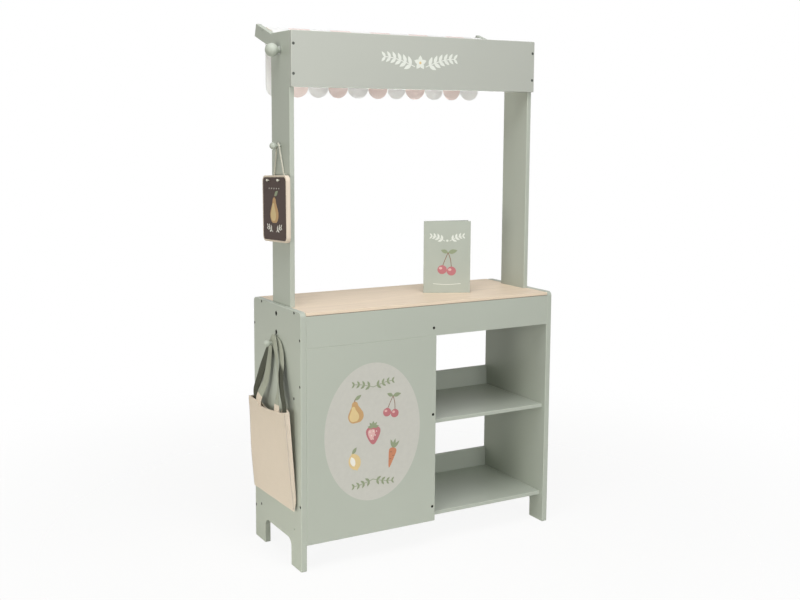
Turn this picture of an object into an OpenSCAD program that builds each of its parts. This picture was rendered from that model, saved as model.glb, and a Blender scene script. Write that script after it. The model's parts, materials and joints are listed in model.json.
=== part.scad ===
// Toy market stall: a painted cabinet with a wooden worktop, a sign board on two posts,
// a striped awning on clamped arms, a hanging tablet, a tote bag and a folded menu card.
// Lengths are in millimetres. X runs to the right, Y to the back and Z up.
// The origin is on the floor, under the middle of the whole stall.

/* [Cabinet] */
// Width over both gables
stall_w = 600; // [500:2:740]
// Depth of the gables
stall_d = 234; // [210:2:300]
// Height of the gables
gable_h = 518; // [480:2:600]
// Thickness of the gables
gable_t = 12; // [9:0.5:18]
// Radius of the gables' top corners
gable_corner_r = 10; // [4:0.5:16]
// Radius of the corners under the feet
foot_r = 3; // [1:0.5:6]
// Depth of the front foot
front_foot_d = 49; // [30:1:70]
// Depth of the rear foot
rear_foot_d = 52; // [30:1:70]
// Height of the arch between the feet
arch_h = 53; // [30:1:70]
// Radius of the arch's upper corners
arch_r = 16; // [6:1:28]
// Thickness of the worktop
worktop_t = 7; // [5:0.5:12]
// How far the gables stand above the worktop
worktop_drop = 1; // [0.5:0.5:6]
// Thickness of the front rail and the front panel
front_t = 10; // [7:0.5:14]
// Height of the front rail
front_rail_h = 63; // [40:1:90]
// Height of the front panel's lower edge above the floor
panel_bottom = 53; // [40:1:58]
// How far the front panel reaches past the divider
panel_lip = 0.5; // [0:0.5:6]
// Thickness of the divider
divider_t = 12; // [9:0.5:18]

/* [Shelves] */
// Thickness of the shelves
shelf_t = 8; // [6:0.5:12]
// Gap between the shelves' front edges and the front panel
shelf_setback = 0.5; // [0:0.5:10]
// Height of the right middle shelf's top
right_middle_top = 267; // [200:1:320]
// Height of the right bottom shelf's top
right_bottom_top = 68.5; // [66:0.5:72]
// Height of the left middle shelf's top
left_middle_top = 347.5; // [280:0.5:400]
// Height of the left bottom shelf's top
left_bottom_top = 82.5; // [80:0.5:110]
// Thickness of the back rails
back_rail_t = 8; // [6:0.5:12]
// How far the back rails stand above their shelves
back_rail_rise = 44; // [25:1:70]
// Height of the top back rail
top_rail_h = 63; // [40:1:90]

/* [Posts and sign] */
// Depth of the posts
post_d = 88; // [60:1:110]
// Thickness of the posts
post_t = 10; // [8:0.5:16]
// Height of the posts' tops above the floor
post_top = 1056; // [960:2:1200]
// Length of the posts below the worktop
post_drop = 70; // [60:1:110]
// Height of the sign board
sign_h = 108; // [80:1:140]
// Thickness of the sign board
sign_t = 9; // [6:0.5:14]
// Radius of the sign board's corners
sign_r = 2.5; // [1:0.5:10]

/* [Awning] */
// Height of the posts' tops above the pivots
pivot_drop = 36; // [26:0.5:60]
// Length of an arm from its pivot to its square end
arm_l = 158; // [130:1:200]
// Width of an arm
arm_w = 26.5; // [22:0.5:34]
// Thickness of an arm
arm_t = 11; // [8:0.5:14]
// Angle of the arms above level
arm_tilt = 18.4; // [0:0.1:30]
// Width of the slats between the arms
slat_w = 28; // [20:1:34]
// Thickness of the slats
slat_t = 9; // [7:0.5:12]
// Depth of the slats below the arms' upper edges
slat_sink = 1.5; // [0:0.5:3]
// Distance from the arms' ends to the rear slat
slat_inset = 23; // [10:1:30]
// Distance from the pivots to the front slat
front_slat_reach = 18; // [16:1:24]
// Thickness of the cloth
cloth_t = 1.2; // [0.8:0.1:2]
// Gap between the cloth and each arm
cloth_side_gap = 2.7; // [2:0.1:8]
// Number of stripes and scallops
stripes = 11; // [7:2:15]
// Length of the valance from its top to the notches
valance_drop = 109; // [80:1:160]
// Depth of the scallops below the notches
scallop_d = 23; // [6:0.1:24]
// Sway of the valance's folds at its lower edge
fold_sway = 2.4; // [0:0.1:5]
// Number of folds in the valance
folds = 7; // [3:2:11]
// Sag of the roof cloth between the slats
roof_sag = 4; // [0:0.5:8]

/* [Knobs] */
// Diameter of the ball knobs
knob_d = 26.5; // [20:0.5:36]
// Distance from a post's face to the middle of its ball
knob_reach = 17.5; // [16:0.5:24]
// Diameter of the neck behind a ball
knob_neck_d = 13; // [10:0.5:18]
// Diameter of the pivot bolts
pivot_bolt_d = 6; // [4:0.5:8]
// Diameter of the washers under the knobs
washer_d = 16; // [12:0.5:22]
// Thickness of the washers
washer_t = 1.5; // [1:0.1:3]
// Diameter of the tee nuts' flanges
tee_flange_d = 16; // [13:0.5:20]
// Thickness of the tee nuts' flanges
tee_flange_t = 1.2; // [0.8:0.1:2]
// Diameter of the tee nuts' barrels
tee_barrel_d = 9; // [8:0.5:11]
// Length of the tee nuts' barrels
tee_barrel_l = 7; // [4:0.5:7.5]

/* [Pegs] */
// Diameter of the pegs' shanks
peg_d = 6; // [4:0.5:8]
// Diameter of the pegs' ball ends
peg_ball_d = 14; // [10:0.5:20]
// Depth of the pegs in their boards
peg_depth = 7; // [4:0.5:8]
// Height of the tablet's peg
tablet_peg_z = 834; // [740:1:900]
// Distance from the post to the middle of that peg's ball
tablet_peg_reach = 16; // [15:0.5:24]
// Height of the bag's peg
bag_peg_z = 440; // [400:1:452]
// Distance from the gable to the middle of that peg's ball
bag_peg_reach = 20.5; // [20:0.5:36]

/* [Tablet] */
// Width of the tablet
tablet_w = 119; // [90:1:140]
// Height of the tablet
tablet_h = 132; // [100:1:160]
// Thickness of the tablet
tablet_t = 9; // [7:0.5:14]
// Radius of the tablet's corners
tablet_r = 12; // [7:0.5:16]
// Width of the bare rim round the dark face
tablet_rim = 4; // [2:0.5:6]
// Thickness of the dark face, which lies in a recess
tablet_face_t = 1.2; // [0.8:0.1:2]
// Distance from the peg down to the tablet's top edge
tablet_hang = 58; // [40:0.5:90]
// Gap between the tablet's lower edge and the post
tablet_foot_gap = 6; // [0.3:0.1:10]
// Turn of the tablet in its own plane, with its front edge up
tablet_roll = 2.6; // [0:0.1:5]
// Diameter of the cord
cord_d = 3.5; // [2:0.25:3.75]
// Diameter of the cord's knots
cord_knot_d = 7.5; // [6:0.5:9]
// Diameter of the cord's holes
cord_hole_d = 5; // [4.8:0.1:5.5]
// Distance between the cord's holes
cord_hole_pitch = 52; // [30:1:70]
// Distance from the tablet's top edge to the holes
cord_hole_drop = 10; // [8:0.5:14]

/* [Bag] */
// Width of the bag at its bottom
bag_w = 200; // [150:2:220]
// Width of the bag at its mouth
bag_mouth_w = 184; // [140:2:210]
// Height of the bag
bag_h = 195; // [150:1:240]
// Thickness of the bag at its bottom
bag_base_t = 8; // [7:0.5:12]
// Thickness of the bag at its mouth
bag_mouth_t = 10; // [8:0.5:16]
// Distance that the mouth hangs further out than the bottom
bag_lean = 12; // [0:0.5:16]
// Depth of the fold in the bag's sides at the mouth
bag_pinch = 2; // [0:0.5:3.5]
// Dip of the outer wall's edge at the mouth
bag_dip = 9; // [0:0.5:20]
// Depth of the dip in the inner wall's edge
bag_back_dip = 14; // [0:0.5:20]
// Thickness of the bag's cloth
bag_wall = 1.6; // [1:0.1:2.4]
// Distance from the peg down to the bag's mouth
bag_hang = 126; // [90:1:150]
// Gap between the bag and the gable
bag_gap = 1; // [0.3:0.1:4]
// Width of the webbing handles
strap_w = 24; // [12:0.5:26]
// Width of a handle where it bunches over the peg
strap_top_w = 16; // [8:0.5:16]
// Tilt of the handles' faces on the peg
strap_tilt = 48; // [30:1:60]
// Thickness of the webbing
strap_t = 1.5; // [1:0.1:2]
// Distance between the two ends of the outer handle
strap_pitch = 94; // [80:1:104]
// Distance between the two ends of the inner handle
strap_wide_pitch = 144; // [120:1:150]
// Length of the handles inside the bag
strap_sewn = 24; // [10:1:40]

/* [Menu card] */
// Width of a leaf
card_w = 101; // [74:1:148]
// Height of the card
card_h = 155; // [105:1:210]
// Thickness of a leaf
card_t = 0.8; // [0.5:0.1:1.5]
// Place of the fold to the right of the middle
card_x = 43.5; // [-100:0.5:100]
// Place of the fold behind the middle
card_y = -1; // [-40:0.5:40]
// Angle of the front leaf from the stall's front
card_turn = -25; // [-30:0.5:0]
// Angle between the two leaves
card_angle = 12; // [4:0.5:40]

/* [Fasteners] */
// Diameter of the screws
screw_d = 3.5; // [2.5:0.1:4]
// Diameter of the screw heads
screw_head_d = 6; // [5:0.1:6.5]
// Height of the screw heads
screw_head_h = 2.5; // [1.5:0.1:4]
// Length of the screws
screw_l = 32; // [24:1:40]
// Depth of the screw heads below the surface
screw_sink = 0.4; // [0.2:0.1:1]
// Diameter of the post bolts
bolt_d = 6; // [5:0.5:8]
// Diameter of the bolt heads
bolt_head_d = 10; // [9:0.5:13]
// Height of the bolt heads
bolt_head_h = 5; // [3:0.5:6]
// Depth of the upper post bolts below the worktop
bolt_drop = 10; // [8:0.5:16]
// Distance between the upper and lower post bolts
bolt_pitch = 38; // [24:1:44]
// Width of the bolts' nuts over their corners
nut_d = 11; // [10:0.5:14]
// Height of the nuts
nut_h = 5; // [4:0.5:7]

/* [Hidden] */
$fn = 48;
// Running clearance between pieces that move apart
run_gap = 0.3;
// Radial clearance of a shank in its hole
fit = 0.05;
// Overrun of every cut
overrun = 1;
// Drop of the roof cloth below the rear slat
flap_drop = 0.5;
// Height of the card above the worktop
card_gap = 0.2;
// Half the gap between the leaves at the fold
fold_gap = 0.15;
// Width and depth of the hexagon sockets in screw and bolt heads
screw_socket_d = 3.2;
screw_socket_h = 1.6;
bolt_socket_d = 5.4;
bolt_socket_h = 3;
// Length of a bolt past its nut
bolt_tail = 1;

// Places of fasteners as shares of the boards that they hold
worktop_screw_shares = [-0.37, 0.32];
shelf_screw_shares = [-0.36, 0.36];
rail_screw_share = 0.26;
low_rail_screw_share = 0.15;
panel_screw_shares = [0.2, 0.81];
divider_screw_shares = [0.08, 0.58];
sign_screw_share = 0.235;

// Paint and material colours
sage = [0.69, 0.71, 0.65];
pale_sage = [0.76, 0.77, 0.73];
bare_wood = [0.87, 0.80, 0.72];
steel = [0.24, 0.24, 0.20];
zinc = [0.70, 0.70, 0.70];
blush = [0.80, 0.70, 0.69];
taupe = [0.34, 0.29, 0.28];
cotton = [0.84, 0.78, 0.72];
webbing = [0.48, 0.49, 0.43];
card_green = [0.69, 0.71, 0.68];

// Places of the boards
inner_x = stall_w / 2 - gable_t;
inner_w = 2 * inner_x;
front_y = -stall_d / 2;
rear_y = stall_d / 2;
worktop_top = gable_h - worktop_drop;
worktop_low = worktop_top - worktop_t;
rail_low = worktop_low - front_rail_h;
panel_h = rail_low - panel_bottom;
shelf_front = front_y + front_t + shelf_setback;
rail_front = rear_y - back_rail_t;
shelf_depth = rail_front - shelf_front;
half_shelf_w = inner_x - divider_t / 2;
post_low = worktop_low - post_drop;
post_inner_x = inner_x - post_t;
sign_low = post_top - sign_h;
arch_w = stall_d - front_foot_d - rear_foot_d;
arch_y = (front_foot_d - rear_foot_d) / 2;

// Places of the awning, with u along an arm and v square to it
pivot_z = post_top - pivot_drop;
arm_outer_x = post_inner_x - run_gap;
arm_inner_x = arm_outer_x - arm_t;
slat_top_v = arm_w / 2 - slat_sink;
slat_low_v = slat_top_v - slat_t;
rear_slat_end_u = arm_l - slat_inset;
rear_slat_u = rear_slat_end_u - slat_w;
front_slat_end_u = front_slat_reach + slat_w;
cloth_w = 2 * (arm_inner_x - cloth_side_gap);
stripe_w = cloth_w / stripes;
hem_u = rear_slat_end_u + cloth_t / 2;
hem_v = slat_low_v - flap_drop - run_gap - cloth_t / 2;
hem_y = hem_u * cos(arm_tilt) - hem_v * sin(arm_tilt);
hem_z = pivot_z + hem_u * sin(arm_tilt) + hem_v * cos(arm_tilt);

// Places of the tablet, which leans on the post with the cord behind its top
tablet_top_gap = cord_d + 3 * run_gap;
tablet_low_z = tablet_peg_z - tablet_hang - tablet_h;
tablet_lean = asin((tablet_top_gap - tablet_foot_gap) / tablet_h);
cord_loop_r = peg_d / 2 + run_gap + cord_d / 2;
cord_flare = atan((cord_hole_pitch / 2 - cord_loop_r) / (tablet_hang + cord_hole_drop));
cord_loop_out = (tablet_peg_reach - peg_ball_d / 2) / 2 + cord_d / 4;

// Places of the bag
bag_mouth_z = bag_peg_z - bag_hang;
bag_low_z = bag_mouth_z - bag_h;
strap_top_z = bag_peg_z + peg_d / 2 + run_gap
    + strap_top_w / 2 * cos(strap_tilt) + strap_t / 2 * sin(strap_tilt);
strap_nest = (strap_t + run_gap) / sin(strap_tilt);
strap_mid_out = (bag_peg_reach - peg_ball_d / 2) / 2;

// The whole stall's reach, which sets the origin
left_reach = max(stall_w / 2 + bag_gap + bag_lean + bag_mouth_t, stall_w / 2 + bag_peg_reach + peg_ball_d / 2,
    inner_x + knob_reach + knob_d / 2);
right_reach = max(stall_w / 2, inner_x + knob_reach + knob_d / 2);
rear_reach = max(rear_y, arm_l * cos(arm_tilt) + arm_w / 2 * sin(arm_tilt));
origin_shift = [(left_reach - right_reach) / 2, -(rear_reach + front_y) / 2, 0];

// Moves a piece from the middle of the footprint to the stall's own origin
module place() {
    translate(origin_shift) children();
}

// The same, mirrored to the right-hand side
module place_right() {
    place() mirror([1, 0, 0]) children();
}

// A board given by its lowest corner and its size
module board(corner, size) {
    translate(corner) cube(size);
}

// Stands a flat outline up in the YZ plane, with its thickness along +X
module upright(thickness) {
    rotate([90, 0, 90]) linear_extrude(thickness) children();
}

// A plate outline, centred on its width, with its own radius at the lower and the upper corners
module rounded_plate(w, h, low_r, top_r) {
    translate([-w / 2, low_r]) square([w, h - low_r - top_r]);
    translate([-w / 2 + low_r, 0]) square([w - 2 * low_r, low_r]);
    translate([-w / 2 + top_r, h - top_r]) square([w - 2 * top_r, top_r]);
    for (side = [-1, 1]) {
        translate([side * (w / 2 - low_r), low_r]) circle(r = low_r);
        translate([side * (w / 2 - top_r), h - top_r]) circle(r = top_r);
    }
}

// A screw along +Z with the top of its head at zero
module screw() {
    difference() {
        union() {
            cylinder(d = screw_head_d, h = screw_head_h);
            cylinder(d = screw_d, h = screw_l);
        }
        translate([0, 0, -overrun]) cylinder(d = screw_socket_d, h = screw_socket_h + overrun, $fn = 6);
    }
}

// The hole that a screw lies in, open above its head
module screw_hole() {
    translate([0, 0, -screw_sink - overrun])
        cylinder(d = screw_head_d + 2 * fit, h = screw_sink + overrun + screw_head_h + fit);
    cylinder(d = screw_d + 2 * fit, h = screw_l + fit);
}

// Gable screws as places [y, z], all driven square through a gable
worktop_spots = [for (s = worktop_screw_shares) [s * stall_d, worktop_low + worktop_t / 2]];
front_edge_y = front_y + front_t / 2;
rear_edge_y = rear_y - back_rail_t / 2;
rail_spots = [
    [front_edge_y, rail_low + rail_screw_share * front_rail_h],
    [rear_edge_y, worktop_low - (1 - rail_screw_share) * top_rail_h],
    [rear_edge_y, right_bottom_top - shelf_t + low_rail_screw_share * (shelf_t + back_rail_rise)]
];
panel_spots = [for (s = panel_screw_shares) [front_edge_y, panel_bottom + s * panel_h]];

// Two screws in the end of a shelf whose top is at the height given
function shelf_spots(top) = [for (s = shelf_screw_shares) [s * stall_d, top - shelf_t / 2]];

left_spots = concat(worktop_spots, rail_spots, panel_spots, shelf_spots(left_middle_top),
    shelf_spots(left_bottom_top));
middle_rail_spots = [[rear_edge_y, right_middle_top + back_rail_rise / 2]];
right_spots = concat(worktop_spots, rail_spots, middle_rail_spots, shelf_spots(right_middle_top),
    shelf_spots(right_bottom_top));

// Puts a child at each place on the left gable, pointing into the cabinet
module on_gable(spots) {
    for (spot = spots)
        translate([-stall_w / 2 + screw_sink, spot[0], spot[1]]) rotate([0, 90, 0]) children();
}

// Puts a child on the divider, pointing into the right shelves, or mirrored into the left ones
module on_divider(spots) {
    for (spot = spots)
        translate([-divider_t / 2 + screw_sink, spot[0], spot[1]]) rotate([0, 90, 0]) children();
}

// Puts a child at each height on the front, pointing back into the divider's edge
module on_front(heights) {
    for (z = heights) translate([0, front_y + screw_sink, z]) rotate([-90, 0, 0]) children();
}

// Puts a child at each height on the rear, pointing forward into the divider's edge
module on_rear(heights) {
    for (z = heights) translate([0, rear_y - screw_sink, z]) rotate([90, 0, 0]) children();
}

front_heights = concat([for (s = divider_screw_shares) panel_bottom + s * panel_h],
    [rail_low + rail_screw_share * front_rail_h]);
rear_heights = [
    right_bottom_top + back_rail_rise / 2,
    right_middle_top + back_rail_rise / 2,
    worktop_low - (1 - rail_screw_share) * top_rail_h
];

// All the screws or screw holes in the divider, from both sides
module divider_set() {
    on_divider(concat(shelf_spots(right_middle_top), shelf_spots(right_bottom_top))) children();
    mirror([1, 0, 0])
        on_divider(concat(shelf_spots(left_middle_top), shelf_spots(left_bottom_top))) children();
}

// Heights of a post's two bolts
bolt_heights = [worktop_low - bolt_drop, worktop_low - bolt_drop - bolt_pitch];

// Puts a child at each bolt of the left post, pointing into the cabinet
module on_post_bolts() {
    for (z = bolt_heights) translate([-stall_w / 2 + screw_sink, 0, z]) rotate([0, 90, 0]) children();
}

// The counterbored hole of a post bolt
module bolt_hole() {
    translate([0, 0, -screw_sink - overrun])
        cylinder(d = bolt_head_d + 2 * fit, h = screw_sink + overrun + bolt_head_h + fit);
    cylinder(d = bolt_d + 2 * fit, h = gable_t + post_t + overrun);
}

// Heights of a post's two sign screws
sign_heights = [sign_low + sign_screw_share * sign_h, post_top - sign_screw_share * sign_h];

// Puts a child at each sign screw of the left post, pointing back into the post's edge
module on_sign() {
    for (z = sign_heights)
        translate([-inner_x + post_t / 2, -post_d / 2 - sign_t + screw_sink, z])
            rotate([-90, 0, 0])
                children();
}

// Lays a child along the left pivot, with +Z pointing out of the stall from the post's face
module on_pivot() {
    translate([-inner_x, 0, pivot_z]) rotate([0, -90, 0]) children();
}

// The left gable without its holes
module gable_blank() {
    translate([-stall_w / 2, 0, 0]) upright(gable_t) difference() {
        rounded_plate(stall_d, gable_h, foot_r, gable_corner_r);
        translate([arch_y, 0]) arch_outline();
    }
}

// The arch between the feet
module arch_outline() {
    translate([-arch_w / 2, -overrun]) square([arch_w, arch_h - arch_r + overrun]);
    translate([-arch_w / 2 + arch_r, 0]) square([arch_w - 2 * arch_r, arch_h]);
    for (side = [-1, 1]) translate([side * (arch_w / 2 - arch_r), arch_h - arch_r]) circle(r = arch_r);
}

// A hole for a peg, along +Z out of a board's face
module peg_hole() {
    translate([0, 0, -peg_depth - fit]) cylinder(d = peg_d + 2 * fit, h = peg_depth + fit + overrun);
}

// A turned peg along +Z out of a board's face
module peg(reach) {
    translate([0, 0, -peg_depth]) cylinder(d = peg_d, h = peg_depth + reach);
    translate([0, 0, reach]) sphere(d = peg_ball_d);
}

// Puts a child on the left gable at the bag's peg, pointing out
module on_bag_peg() {
    translate([-stall_w / 2, 0, bag_peg_z]) rotate([0, -90, 0]) children();
}

// Puts a child on the left post at the tablet's peg, pointing out
module on_tablet_peg() {
    translate([-inner_x, 0, tablet_peg_z]) rotate([0, -90, 0]) children();
}

module left_gable() {
    color(sage) place() difference() {
        gable_blank();
        on_gable(left_spots) screw_hole();
        on_post_bolts() bolt_hole();
        on_bag_peg() peg_hole();
    }
}

module right_gable() {
    color(sage) place_right() difference() {
        gable_blank();
        on_gable(right_spots) screw_hole();
        on_post_bolts() bolt_hole();
    }
}

// The worktop lies between the gables and is notched round the posts
module worktop() {
    color(bare_wood) place() difference() {
        board([-inner_x, front_y, worktop_low], [inner_w, stall_d, worktop_t]);
        for (side = [0, 1]) mirror([side, 0, 0]) {
            board([-inner_x - overrun, -post_d / 2 - fit, worktop_low - overrun],
                [post_t + fit + overrun, post_d + 2 * fit, worktop_t + 2 * overrun]);
            on_gable(worktop_spots) screw_hole();
        }
    }
}

module front_rail() {
    color(sage) place() difference() {
        board([-inner_x, front_y, rail_low], [inner_w, front_t, front_rail_h]);
        for (side = [0, 1]) mirror([side, 0, 0]) on_gable([rail_spots[0]]) screw_hole();
        on_front([front_heights[2]]) screw_hole();
    }
}

module front_panel() {
    color(sage) place() difference() {
        board([-inner_x, front_y, panel_bottom], [inner_x + divider_t / 2 + panel_lip, front_t, panel_h]);
        on_gable(panel_spots) screw_hole();
        on_front([front_heights[0], front_heights[1]]) screw_hole();
    }
}

module divider() {
    color(sage) place() difference() {
        board([-divider_t / 2, front_y + front_t, panel_bottom],
            [divider_t, stall_d - front_t - back_rail_t, worktop_low - panel_bottom]);
        divider_set() screw_hole();
        on_front(front_heights) screw_hole();
        on_rear(rear_heights) screw_hole();
    }
}

// A left shelf whose top is at the height given, without its holes
module half_shelf(top) {
    board([-inner_x, shelf_front, top - shelf_t], [half_shelf_w, shelf_depth, shelf_t]);
}

module left_shelf(top) {
    color(sage) place() difference() {
        half_shelf(top);
        on_gable(shelf_spots(top)) screw_hole();
        mirror([1, 0, 0]) on_divider(shelf_spots(top)) screw_hole();
    }
}

module right_shelf(top) {
    color(sage) place() difference() {
        mirror([1, 0, 0]) half_shelf(top);
        mirror([1, 0, 0]) on_gable(shelf_spots(top)) screw_hole();
        on_divider(shelf_spots(top)) screw_hole();
    }
}

module right_middle_shelf() {
    right_shelf(right_middle_top);
}

module right_bottom_shelf() {
    right_shelf(right_bottom_top);
}

module left_middle_shelf() {
    left_shelf(left_middle_top);
}

module left_bottom_shelf() {
    left_shelf(left_bottom_top);
}

module top_back_rail() {
    color(sage) place() difference() {
        board([-inner_x, rail_front, worktop_low - top_rail_h], [inner_w, back_rail_t, top_rail_h]);
        for (side = [0, 1]) mirror([side, 0, 0]) on_gable([rail_spots[1]]) screw_hole();
        on_rear([rear_heights[2]]) screw_hole();
    }
}

// The middle back rail runs from the divider's edge to the right gable
module middle_back_rail() {
    color(sage) place() difference() {
        board([-divider_t / 2, rail_front, right_middle_top - shelf_t],
            [inner_x + divider_t / 2, back_rail_t, shelf_t + back_rail_rise]);
        mirror([1, 0, 0]) on_gable(middle_rail_spots) screw_hole();
        on_rear([rear_heights[1]]) screw_hole();
    }
}

module bottom_back_rail() {
    color(sage) place() difference() {
        board([-inner_x, rail_front, right_bottom_top - shelf_t],
            [inner_w, back_rail_t, shelf_t + back_rail_rise]);
        for (side = [0, 1]) mirror([side, 0, 0]) on_gable([rail_spots[2]]) screw_hole();
        on_rear([rear_heights[0]]) screw_hole();
    }
}

// The left post with the holes that both posts have
module post_blank() {
    difference() {
        board([-inner_x, -post_d / 2, post_low], [post_t, post_d, post_top - post_low]);
        on_post_bolts() bolt_hole();
        on_sign() screw_hole();
        on_pivot() translate([0, 0, -post_t - overrun])
            cylinder(d = pivot_bolt_d + 2 * fit, h = post_t + 2 * overrun);
    }
}

module left_post() {
    color(sage) place() difference() {
        post_blank();
        on_tablet_peg() peg_hole();
    }
}

module right_post() {
    color(sage) place_right() post_blank();
}

// The sign board lies on the posts' front edges, flush with their outer faces
module sign_board() {
    color(pale_sage) place() difference() {
        translate([0, -post_d / 2, sign_low]) rotate([90, 0, 0]) linear_extrude(sign_t)
            rounded_plate(inner_w, sign_h, sign_r, sign_r);
        for (side = [0, 1]) mirror([side, 0, 0]) on_sign() screw_hole();
    }
}

module left_gable_screws() {
    color(steel) place() on_gable(left_spots) screw();
}

module right_gable_screws() {
    color(steel) place_right() on_gable(right_spots) screw();
}

module divider_screws() {
    color(steel) place() divider_set() screw();
}

module front_screws() {
    color(steel) place() on_front(front_heights) screw();
}

module rear_screws() {
    color(steel) place() on_rear(rear_heights) screw();
}

module sign_screws() {
    color(steel) place() for (side = [0, 1]) mirror([side, 0, 0]) on_sign() screw();
}

// A post bolt along +Z, with a hexagon socket in its head
module post_bolt() {
    difference() {
        union() {
            cylinder(d = bolt_head_d, h = bolt_head_h);
            cylinder(d = bolt_d, h = gable_t - screw_sink + post_t + nut_h + bolt_tail);
        }
        translate([0, 0, -overrun]) cylinder(d = bolt_socket_d, h = bolt_socket_h + overrun, $fn = 6);
    }
}

module post_bolts() {
    color(steel) place() for (side = [0, 1]) mirror([side, 0, 0]) on_post_bolts() post_bolt();
}

// The nuts sit on the posts' inner faces
module post_nuts() {
    color(zinc) place() for (side = [0, 1], z = bolt_heights) mirror([side, 0, 0])
        translate([-post_inner_x, 0, z]) rotate([0, 90, 0]) difference() {
            cylinder(d = nut_d, h = nut_h, $fn = 6);
            translate([0, 0, -overrun]) cylinder(d = bolt_d + 2 * fit, h = nut_h + 2 * overrun);
        }
}

module tablet_peg() {
    color(sage) place() on_tablet_peg() peg(tablet_peg_reach);
}

module bag_peg() {
    color(sage) place() on_bag_peg() peg(bag_peg_reach);
}

module knob_washers() {
    color(zinc) place() for (side = [0, 1]) mirror([side, 0, 0]) on_pivot() difference() {
        cylinder(d = washer_d, h = washer_t);
        translate([0, 0, -overrun]) cylinder(d = pivot_bolt_d + 2 * fit, h = washer_t + 2 * overrun);
    }
}

// Lays a child in the arms' own frame, with Y along the arm and Z square to it
module on_arm() {
    translate([0, 0, pivot_z]) rotate([arm_tilt, 0, 0]) children();
}

// Middles of the two slats along an arm
slat_mids = [front_slat_reach + slat_w / 2, rear_slat_u + slat_w / 2];

// Puts a child at each slat's end on the left arm, pointing into the slat
module on_slat_ends() {
    for (u = slat_mids)
        translate([-arm_outer_x + screw_sink, u, slat_top_v - slat_t / 2]) rotate([0, 90, 0]) children();
}

// The left arm: round at the pivot, square at its end
module arm_blank() {
    on_arm() difference() {
        translate([-arm_outer_x, 0, 0]) upright(arm_t) {
            circle(d = arm_w);
            translate([0, -arm_w / 2]) square([arm_l, arm_w]);
        }
        translate([-arm_outer_x - overrun, 0, 0]) rotate([0, 90, 0])
            cylinder(d = pivot_bolt_d + 2 * fit, h = arm_t + 2 * overrun);
        translate([-arm_inner_x - tee_barrel_l - fit, 0, 0]) rotate([0, 90, 0])
            cylinder(d = tee_barrel_d + 2 * fit, h = tee_barrel_l + fit + overrun);
        on_slat_ends() screw_hole();
    }
}

module left_arm() {
    color(sage) place() arm_blank();
}

module right_arm() {
    color(sage) place_right() arm_blank();
}

// A slat between the arms, flush with their upper edges
module slat(u) {
    color(bare_wood) place() on_arm() difference() {
        board([-arm_inner_x, u, slat_low_v], [2 * arm_inner_x, slat_w, slat_t]);
        for (side = [0, 1]) mirror([side, 0, 0]) on_slat_ends() screw_hole();
    }
}

module front_slat() {
    slat(front_slat_reach);
}

module rear_slat() {
    slat(rear_slat_u);
}

module slat_screws() {
    color(steel) place() on_arm() for (side = [0, 1]) mirror([side, 0, 0]) on_slat_ends() screw();
}

// A tee nut sits in the inner face of each arm
module tee_nuts() {
    color(zinc) place() on_arm() for (side = [0, 1]) mirror([side, 0, 0])
        translate([-arm_inner_x, 0, 0]) rotate([0, 90, 0]) difference() {
            union() {
                cylinder(d = tee_flange_d, h = tee_flange_t);
                translate([0, 0, -tee_barrel_l]) cylinder(d = tee_barrel_d, h = tee_barrel_l);
            }
            translate([0, 0, -tee_barrel_l - overrun])
                cylinder(d = pivot_bolt_d + 2 * fit, h = tee_barrel_l + tee_flange_t + 2 * overrun);
        }
}

// The underside of the roof cloth, from the front slat over the rear one and down its outer face
sag_steps = 10;
roof_under = concat(
    [[front_slat_reach, slat_low_v], [front_slat_reach, slat_top_v]],
    [for (i = [0:sag_steps]) let (s = i / sag_steps) [
        front_slat_end_u + s * (rear_slat_u - front_slat_end_u),
        slat_top_v - 4 * roof_sag * s * (1 - s)]],
    [[rear_slat_end_u, slat_top_v], [rear_slat_end_u, slat_low_v - flap_drop]]
);
roof_last = len(roof_under) - 1;

// Moves a point of the underside to the cloth's upper side
function roof_over(i) =
    let (p = roof_under[i])
    i < 2 ? [p[0] - cloth_t, i == 0 ? p[1] : p[1] + cloth_t] :
    i > roof_last - 2 ? [p[0] + cloth_t, i == roof_last ? p[1] : p[1] + cloth_t] :
    [p[0], p[1] + cloth_t];

module awning_roof() {
    color(blush) place() on_arm() translate([-cloth_w / 2, 0, 0]) upright(cloth_w)
        polygon(concat(roof_under, [for (i = [roof_last:-1:0]) roof_over(i)]));
}

// The valance hangs from the roof cloth's edge: one scallop to a stripe, with soft folds
scallop_steps = 8;
valance_rows = 5;
valance_cols = stripes * scallop_steps;

// A point of the valance's middle surface; columns crowd towards the notches
function valance_point(col, row) =
    let (stripe = floor(col / scallop_steps))
    let (turn = 180 * (col % scallop_steps) / scallop_steps)
    let (x = -cloth_w / 2 + stripe_w * (stripe + (1 - cos(turn)) / 2))
    let (share = row / valance_rows)
    let (sway = fold_sway * sin(180 * folds * (x / cloth_w + 1 / 2)) * pow(share, 3 / 2))
    [x, hem_y + sway, hem_z - share * (valance_drop + scallop_d * sin(turn))];

// The valance's points: the front side first, then the rear side
valance_points = [
    for (side = [-1, 1], row = [0:valance_rows], col = [0:valance_cols])
        valance_point(col, row) + [0, side * cloth_t / 2, 0]
];

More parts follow.
